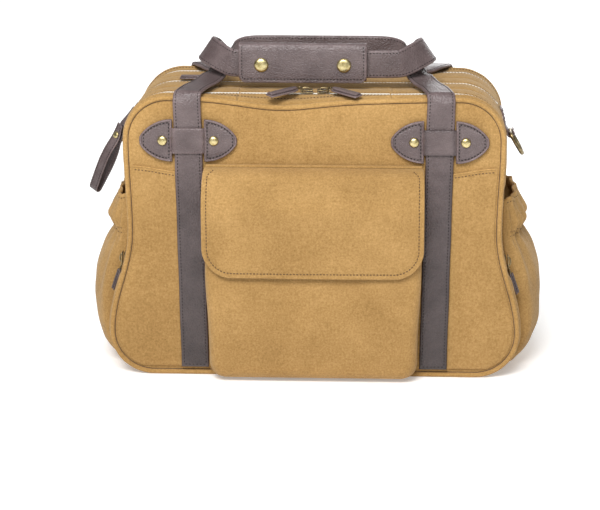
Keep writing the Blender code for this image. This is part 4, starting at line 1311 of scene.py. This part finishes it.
def handle_frames(facing, route, turns):
    """Frames along one handle: up from the tab, over the piping and round to the grip."""
    steps = 10
    route = [Vector(p) * MM for p in route]
    half = smooth_path(route, steps)
    whole = half + [Vector((-p.x, p.y, p.z)) for p in reversed(half[:-1])]
    last = len(whole) - 1
    frames = []
    for i, point in enumerate(whole):
        run = (whole[min(i + 1, last)] - whole[max(i - 1, 0)]).normalized()
        level = run.cross(UPRIGHT).normalized()
        turn = turn_at(turns, min(i, last - i) / steps)
        across = cos(turn) * level + sin(turn) * level.cross(run).normalized()
        frames.append((point, across, run.cross(across).normalized()))
    riser = [(-strap_x(245 * MM), STRIP_Y, 245 * MM), (-strap_x(262 * MM), STRIP_Y, 262 * MM),
             (-126 * MM, STRIP_Y - 0.3 * MM, 275.5 * MM), (-126.2 * MM, STRIP_Y + 0.2 * MM, 283.5 * MM),
             (-125.8 * MM, STRIP_Y + 2.3 * MM, 288.5 * MM), route[0]]
    rise = smooth_path(riser, 8)
    legs = []
    for i, point in enumerate(rise[:-1]):
        run = (rise[i + 1] - rise[max(i - 1, 0)]).normalized()
        across = Vector((1, 0, 0)).lerp(frames[0][1], smoothstep(0.55, 1.0, i / (len(rise) - 1)))
        across = (across - run * across.dot(run)).normalized()
        legs.append((point, across, run.cross(across).normalized()))
    other = [(Vector((-p.x, p.y, p.z)), Vector((-a.x, a.y, a.z)), Vector((-n.x, n.y, n.z)))
             for p, a, n in reversed(legs)]
    flip = Matrix.Diagonal((1, -facing, 1))
    return [(flip @ p, flip @ a, flip @ n) for p, a, n in legs + frames + other]


def build_handles():
    """Both carrying straps and their stitches, built in place; the CAD straps are hidden."""
    lift = HANDLE_T / 2 - 0.14 * MM
    layout = (("front_handle", -1, FRONT_ROUTE, FRONT_TURNS), ("rear_handle", 1, REAR_ROUTE, REAR_TURNS))
    for name, facing, route, turns in layout:
        frames = handle_frames(facing, route, turns)
        strap = band(f"{name}_leather", frames, STRIP_W / 2, HANDLE_T, across=10, step=2.2 * MM,
                     groove=STITCH_INSET, rough=0.14 * MM, double=True)
        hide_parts(f"{name}_strap")
        runs = [band_seam(frames, edge * (STRIP_W / 2 - STITCH_INSET), lift, 3 * MM, None, face)
                for edge in (-1, 1) for face in (-1, 1)]
        for piece in (strap, sew(f"{name}_stitches", runs, DARK_THREAD)):
            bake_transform(piece)


WRAP_MIDDLE = (WRAP_LOW.x + WRAP_HIGH.x) / 2
WRAP_HALF = (WRAP_HIGH.x - WRAP_LOW.x) / 2
WRAP_T = 2.0 * MM


def wrap_frames(profile):
    """Frames round the grip through (y, z) points in millimetres."""
    points = [(WRAP_MIDDLE, y * MM, z * MM) for y, z in profile]
    frames = path_frames(smooth_path(points, 8 if len(points) > 3 else 6), (1, 0, 0))
    return frames, length_of(frames)


def rounded_end(half, corner, total):
    """Half width along a strip whose last stretch has rounded corners."""
    def reach(s):
        left = min(total - s, corner)
        return half - corner + sqrt(max(corner ** 2 - (corner - left) ** 2, 0.0))
    return reach


def wrap_seam(frames, half, inset, start, total, face, count):
    """Stitch rows down both edges of a wrap leaf and across its rounded end."""
    edges = [band_seam(frames, lambda s, way=way: way * (half(s) - inset), WRAP_T / 2 - 0.1 * MM, start,
                       total, face) for way in (-1, 1)]
    (p0, n0), (p1, n1) = edges[0][-1], edges[1][-1]
    return edges + [[(p0.lerp(p1, t), n0.lerp(n1, t).normalized()) for t in np.linspace(0, 1, count)]]


def build_wrap():
    """Grip cover: a sheet round the strap with its back edge standing up, a fold, and the snapped flap."""
    frames, total = wrap_frames(((-51.3, 306.0), (-51.3, 299.5), (-48.0, 296.6), (-44.7, 299.5),
                                 (-44.4, 313.0), (-44.3, 320.0), (-44.4, 326.2)))
    half = rounded_end(WRAP_HALF - 0.5 * MM, 4 * MM, total)
    inset = 2.8 * MM
    sheet = band("wrap_sheet", frames, half, WRAP_T, across=44, step=1.6 * MM, groove=inset,
                 rough=0.25 * MM, double=True)
    runs = []
    for face in (-1, 1):
        runs += wrap_seam(frames, half, inset, 3 * MM, total - 3 * MM, face, 30)
    settle("front_handle", sheet, sew("wrap_sheet_stitches", runs, DARK_THREAD), cad="handle_wrap")
    frames, _ = wrap_frames(((-44.5, 327.5), (-46.0, 331.5), (-48.8, 333.3)))
    settle("front_handle", band("wrap_saddle", frames, WRAP_HALF - 1.5 * MM, WRAP_T, across=40, step=1.2 * MM,
                                rough=0.2 * MM))

    frames, total = wrap_frames(((-49.4, 333.6), (-52.0, 333.9), (-54.3, 332.5), (-55.6, 328.0),
                                 (-56.0, 320.0), (-56.0, 310.0), (-55.7, 294.8)))
    frames = [(c, a, n if n.y < 0 or (abs(n.y) < 0.5 and n.z > 0) else -n) for c, a, n in frames]
    half = rounded_end(WRAP_HALF, 8 * MM, total)
    inset = 3.4 * MM
    flap = band("wrap_flap_leather", frames, half, WRAP_T, across=44, step=1.4 * MM, groove=inset,
                rough=0.30 * MM)
    runs = wrap_seam(frames, half, inset, 5 * MM, total - inset, 1, 40)
    settle("wrap_flap", flap, sew("wrap_flap_stitches", runs, DARK_THREAD), cad="handle_wrap_flap")
    for side, _ in SIDES:
        low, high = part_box(f"snap_cap_{side}")
        base = ((low.x + high.x) / 2, -56.9 * MM, (low.z + high.z) / 2)
        cap = domed(f"snap_dome_{side}", base, (0, -1, 0), (high.x - low.x) / 2, 3.0 * MM)
        settle("wrap_flap", cap, cad=f"snap_cap_{side}")


# ---------------------------------------------------------------- sliders and pulls
def node_axes(name):
    """A slider's or pull's own axes from its CAD solid: its points, middle, run and up."""
    cad = frame["nodes"][name]
    points = np.array([list(cad.matrix_world @ v.co) for v in cad.data.vertices])
    middle = (points.min(axis=0) + points.max(axis=0)) / 2
    _, _, rows = np.linalg.svd(points - points.mean(axis=0))
    return [Vector(p) for p in points], Vector(middle), Vector(rows[0]), Vector(rows[2])


def place_matrix(origin, run, up):
    return Matrix.Translation(origin) @ Matrix((run, up.cross(run), up)).transposed().to_4x4()


def build_slider(cad):
    """Zip slider: two plates joined at the nose, and a bail."""
    points, middle, run, up = node_axes(cad)
    if (up.z if abs(up.z) > 0.7 else up.x * middle.x) < 0:
        up = -up
    origin = middle + up * min((p - middle).dot(up) for p in points)
    wide = up.cross(run)
    ahead = max((p - origin).dot(run) for p in points) - 0.1 * MM
    if max(abs((p - origin).dot(wide)) for p in points if (p - origin).dot(run) > ahead) < 3.2 * MM:
        run = -run

    def plate_half(s):
        return 4.1 * MM * (0.56 + 0.44 * smoothstep(0.05, 0.6, s / (13 * MM)))

    pieces = []
    for height, thick in ((0.1 * MM, 1.0 * MM), (2.55 * MM, 1.1 * MM)):
        path = [(x, 0.0, height) for x in np.linspace(-6.4 * MM, 6.4 * MM, 12)]
        pieces.append(band("plate", path_frames(path, SIDEWAYS), plate_half, thick, ANTIQUE, step=1.2 * MM))
    post = [(x, 0.0, 1.3 * MM) for x in (-5.2 * MM, -3.8 * MM)]
    pieces.append(band("post", path_frames(post, SIDEWAYS), 1.4 * MM, 2.2 * MM, ANTIQUE, 2, 1 * MM))
    arch = ((-4.2, 2.6), (-3.9, 4.2), (-1.5, 5.0), (1.6, 4.8), (3.4, 3.9), (3.7, 2.6))
    arch = smooth_path([(x * MM, 0.0, z * MM) for x, z in arch], 5)
    pieces.append(tube("bail", arch, 0.75 * MM, 10, ANTIQUE))
    slider = join(f"{cad}_metal", pieces)
    slider.data.transform(place_matrix(origin, run, up))
    settle(cad, slider, cad=cad)


def build_pull(cad):
    """Leather pull: a strip with a raised spine and two stitch rows, and the metal loop at its root."""
    points, middle, run, up = node_axes(cad)
    origin = next(Vector(joint["pos_m"]) for joint in frame["joints"] if joint["child"] == cad)
    if (middle - origin).dot(run) < 0:
        run = -run
    if (middle - origin).dot(up) > 0:
        up = -up
    length = max((p - origin).dot(run) for p in points)
    sink, wide = 3.2 * MM, 5.1 * MM
    if cad.startswith("front"):
        sink, wide = 1.1 * MM, 5.8 * MM
        droop = Matrix.Rotation(radians(8), 3, "X")
        run, up = droop @ run, droop @ up
    matrix = place_matrix(origin - up * sink, run, up)
    start = 5.2 * MM

    def base_half(s):
        left = max(length - start - s, 0.0)
        return (wide - 0.8 * max(1.2 * MM - left, 0.0)) * (0.62 + 0.38 * smoothstep(0.0, 6 * MM, s))

    path = [(x, 0.0, 0.95 * MM) for x in np.linspace(start, length, 14)]
    base = band("base", path_frames(path, SIDEWAYS), base_half, 1.9 * MM, across=8, step=1.6 * MM,
                rough=0.08 * MM)
    path = [(x, 0.0, 2.75 * MM) for x in np.linspace(start + 0.4 * MM, length - 1.0 * MM, 14)]
    spine = band("spine", path_frames(path, SIDEWAYS), lambda s: 0.60 * base_half(s), 2.0 * MM, across=8,
                 step=1.6 * MM, crown=0.25 * MM)
    leather = join(f"{cad}_leather", [base, spine])
    loop = [(7.0, 1.7, 1.6), (1.6, 1.9, 1.6), (0.1, 1.3, 1.7), (-0.6, 0.0, 1.8)]
    loop += [(x, -y, z) for x, y, z in reversed(loop[:-1])]
    loop = smooth_path([(x * MM, y * MM, z * MM) for x, y, z in loop], 5)
    wire = tube(f"{cad}_wire", loop, 0.7 * MM, 10, ANTIQUE)
    for piece in (leather, wire):
        piece.data.transform(matrix)
    along = np.linspace(start + 4 * MM, length - 2 * MM, 12)
    rows = [[(matrix @ Vector((x, y, 1.9 * MM)), up) for x in along] for y in (-0.8 * wide, 0.8 * wide)]
    threads = sew(f"{cad}_stitches", rows, DARK_THREAD, 2.5 * MM, 1.7 * MM, 0.28 * MM)
    settle(cad, leather, wire, threads, cad=cad)


def build_sliders():
    zips = ("front_zip_{}_left", "front_zip_{}_right", "main_zip_{}", "rear_zip_{}", "side_zip_{}_left",
            "side_zip_{}_right")
    for name in zips:
        build_slider(name.format("slider"))
    for name in zips:
        build_pull(name.format("pull"))


def build_side_zips():
    """Short zips let into the gussets between two folded welts."""
    for side, sign in SIDES:
        out = Vector((sign, 0, 0))
        path = [Vector((sign * (side_at(z) - 0.35 * MM), SIDE_ZIP_Y, z))
                for z in between(111 * MM, 189 * MM, 0.7 * MM)]
        coil = ridged_tube(f"side_zip_coil_{side}", path, 1.1 * MM, flat=0.75)
        frames = [(p - out * 0.35 * MM, SIDEWAYS, out) for p in path[::6]]
        settle("bag", coil, band(f"side_zip_tape_{side}", frames, 2.9 * MM, 0.6 * MM, TAPE, across=4))
        for part, shift in (("fore", -4.1 * MM), ("aft", 4.1 * MM)):
            frames = [(Vector((sign * (side_at(z) - 0.1 * MM), SIDE_ZIP_Y + shift, z)), SIDEWAYS, out)
                      for z in between(110 * MM, 190 * MM, 3 * MM)]
            lip = band(f"side_zip_welt_{side}_{part}", frames, 2.1 * MM, 1.3 * MM, CANVAS, rough=0.1 * MM,
                       crown=0.2 * MM)
            run = [(c + out * 0.75 * MM, n) for c, _, n in frames]
            settle("bag", lip, sew(f"side_zip_stitches_{side}_{part}", [run], BROWN_THREAD, length=1.8 * MM))


# ---------------------------------------------------------------- rings and loop strap
RING_X = 198.5 * MM
RING_Z = 236 * MM
RING_R = 2.0 * MM


def ring_plan():
    """A D-ring's middle line as (y, z): its level top, then clockwise round its bow."""
    half, corner, drop = 15 * MM, 3.2 * MM, 10 * MM

    def arc(y, z, radius, start, stop, count):
        return [(y + radius * cos(a), z + radius * sin(a)) for a in np.linspace(start, stop, count)]

    level = [(y, 0.0) for y in np.linspace(corner - half, half - corner, 9)]
    return (level + arc(half - corner, -corner, corner, pi / 2, 0, 6)[1:] + arc(0.0, -drop, half, 0, -pi, 25)
            + arc(corner - half, -corner, corner, pi, pi / 2, 6)[:-1])


def build_rings():
    """D-rings, each held on its gusset by a folded leather tab."""
    thick = 1.8 * MM
    wall = 1.2 * MM
    row = 8.9 * MM
    lift = thick / 2 - 0.05 * MM
    bend = RING_R + 0.6 * MM + thick / 2
    fold = [(side_at(z * MM) + wall, z * MM) for z in (262, 258, 254, 250, 246.5, 243.5)]
    fold += [(RING_X + bend * cos(a), RING_Z + bend * sin(a))
             for a in np.linspace(radians(140), radians(415), 18)]
    for side, sign in SIDES:
        turn = Matrix.Translation((sign * RING_X, 0, RING_Z)) @ Matrix.Rotation(-sign * radians(30), 4, "Y")
        ring = tube(f"d_ring_metal_{side}", [turn @ Vector((0, y, z)) for y, z in ring_plan()], RING_R, 14,
                    ANTIQUE, closed=True, wobble=0.03)
        settle(f"d_ring_{side}", ring, cad=f"d_ring_{side}")
        frames = path_frames([(sign * x, 0, z) for x, z in fold], SIDEWAYS)
        tab = band(f"d_ring_leather_{side}", frames, 11.3 * MM, thick, across=8, step=1.3 * MM,
                   groove=2.4 * MM, rough=0.08 * MM, double=True)
        runs = [band_seam(frames, u, lift, 2.4 * MM, 17 * MM, sign) for u in (-row, row)]
        for z in (259.6 * MM, 246 * MM):
            x = sign * (side_at(z) + wall + lift)
            runs.append([(Vector((x, y, z)), Vector((sign, 0, 0))) for y in np.linspace(-row, row, 8)])
        settle("bag", tab, sew(f"d_ring_stitches_{side}", runs, DARK_THREAD), cad=f"d_ring_tab_{side}")


LOOP_Z = 247 * MM


def turned(degrees):
    return Matrix.Rotation(radians(degrees), 3, "Z")


def build_loop_strap():
    """Doubled leather strap with a rivet, hanging twisted from its tab on the left gusset."""
    hinge = Vector((-(side_at(LOOP_Z) + 7.5 * MM), LOOP_Y, LOOP_Z))
    turn = Matrix.Translation(hinge) @ Matrix.Rotation(radians(24), 4, "Y")
    solid = turn.to_3x3()

    def twist(z):
        return turned(30 + 20 * smoothstep(0.0, 18 * MM, -z))

    half = [(-2.5, 0.0), (-1.7, -14.0), (-4.6, -28.0), (-5.6, -42.0), (-4.4, -58.0), (-3.0, -70.6)]
    path = half + [(3.0 * cos(a), -71.0 + 3.0 * sin(a)) for a in np.linspace(pi, 2 * pi, 10)[1:-1]]
    path += [(-x, z) for x, z in reversed(half)]
    frames = []
    curve = smooth_path([(x * MM, 0.0, z * MM) for x, z in path], 3)
    for point, across, normal in path_frames(curve, SIDEWAYS):
        spin = twist(point.z)
        frames.append((turn @ (spin @ point), solid @ (spin @ across), solid @ (spin @ normal)))
    strap = band("loop_leather", frames, 5.9 * MM, 1.9 * MM, step=2 * MM, groove=1.9 * MM, rough=0.08 * MM,
                 double=True)
    runs = [band_seam(frames, u, 0.85 * MM, 2 * MM, None, face)
            for u in (-4 * MM, 4 * MM) for face in (-1, 1)]
    threads = sew("loop_stitches", runs, DARK_THREAD, 2.7 * MM, 1.8 * MM, 0.3 * MM)
    settle("loop_strap", strap, threads, cad="loop_strap")
    rivet_z = -12 * MM
    spin = twist(rivet_z)
    base = turn @ (spin @ Vector((-2.5 * MM, 0, rivet_z)))
    cap = domed("loop_rivet_cap", base, solid @ (spin @ Vector((-1, 0, 0))), 3.6 * MM, 2.0 * MM)
    settle("loop_strap", cap, cad="loop_rivet")
    # The tab's path down the gusset: height above the hinge and distance off the cloth.
    fold = [(-side_at(LOOP_Z + up * MM) - out * MM, LOOP_Y, LOOP_Z + up * MM)
            for up, out in ((18, 1.3), (12, 2.3), (6, 4.9), (2.4, 6.9), (-0.6, 7.6))]
    steps = path_frames(smooth_path(fold, 4), SIDEWAYS)
    tongue = []
    for k, (point, across, normal) in enumerate(steps):
        spin = turned(6 + 24 * k / (len(steps) - 1))
        tongue.append((point, spin @ across, spin @ normal))
    tab = band("loop_tab_leather", tongue, 5.9 * MM, 2.1 * MM, step=1.3 * MM, groove=1.8 * MM, double=True)
    settle("bag", tab, cad="loop_tab")


# ---------------------------------------------------------------- stage
def aimed(name, data, place, aim):
    """Lamp or camera at a place, looking along aim."""
    made = bpy.data.objects.new(name, data)
    made.location = place
    made.rotation_euler = Vector(aim).to_track_quat("-Z", "Y").to_euler()
    bpy.context.scene.collection.objects.link(made)
    return made


def area_light(name, place, target, size, power):
    light = bpy.data.lights.new(name, "AREA")
    light.shape = "RECTANGLE"
    light.size, light.size_y = size
    light.energy = power
    aimed(name, light, place, Vector(target) - Vector(place))


def build_floor():
    reach = 6.0
    corners = [(-reach, -reach, 0), (reach, -reach, 0), (reach, reach, 0), (-reach, reach, 0)]
    mesh = raw_mesh("floor", corners, [(0, 1, 2, 3)])
    material, _, shader = new_material("floor")
    set_inputs(shader, Base_Color=(0.93, 0.93, 0.925, 1.0), Roughness=0.85,
               Emission_Color=(1.0, 1.0, 1.0, 1.0), Emission_Strength=0.28)
    mesh.materials.append(material)
    floor = bpy.data.objects.new("floor", mesh)
    floor.location.z = -0.2 * MM
    bpy.context.scene.collection.objects.link(floor)


def build_world():
    """Grey sky, lighter above and darker to both flanks."""
    world = bpy.data.worlds.new("world")
    world.use_nodes = True
    tree = world.node_tree
    flank, _, up = split_axes(tree, node(tree, "ShaderNodeTexCoord").outputs["Generated"])
    dimming = maths(tree, "MULTIPLY", maths(tree, "MULTIPLY", flank, flank), 0.7)
    background = tree.nodes["Background"]
    tree.links.new(ramp(tree, up, (0.0, 0.26), (0.45, 0.42), (1.0, 0.50)), background.inputs["Color"])
    tree.links.new(maths(tree, "SUBTRACT", 1.0, dimming), background.inputs["Strength"])
    bpy.context.scene.world = world


def build_stage():
    build_floor()
    build_world()
    sun = bpy.data.lights.new("key", "SUN")
    sun.energy = 2.1
    sun.angle = radians(24)
    aimed("key", sun, (0, 0, 0), (0.16, 0.92, -0.95))
    area_light("rear_fill", (0.6, 2.0, 0.75), (0, 0, 0.15), (1.4, 0.8), 13.0)
    area_light("softbox", (-0.15, -0.95, 0.85), (0, -0.1, 0.22), (0.9, 0.5), 5.0)
    azimuth, elevation, distance = radians(2.5), radians(13.0), 2.4
    back = Vector((sin(azimuth) * cos(elevation), -cos(azimuth) * cos(elevation), sin(elevation)))
    camera = bpy.data.cameras.new("camera")
    camera.lens = 138.0
    camera.shift_x = -0.030
    camera.shift_y = -0.057
    scene = bpy.context.scene
    scene.view_settings.view_transform = "Standard"
    scene.camera = aimed("camera", camera, Vector((0, 0, 0.14)) + back * distance, -back)


def main():
    build_gussets()
    build_top_cloth()
    build_divider_cloth()
    build_base()
    build_zips()
    build_shell_stitches()
    build_panels()
    build_piping()
    build_slip_pocket()
    build_strips()
    build_tabs()
    build_pocket()
    build_flap()
    build_side_pockets()
    build_handles()
    build_wrap()
    build_sliders()
    build_side_zips()
    build_rings()
    build_loop_strap()
    build_stage()


main()
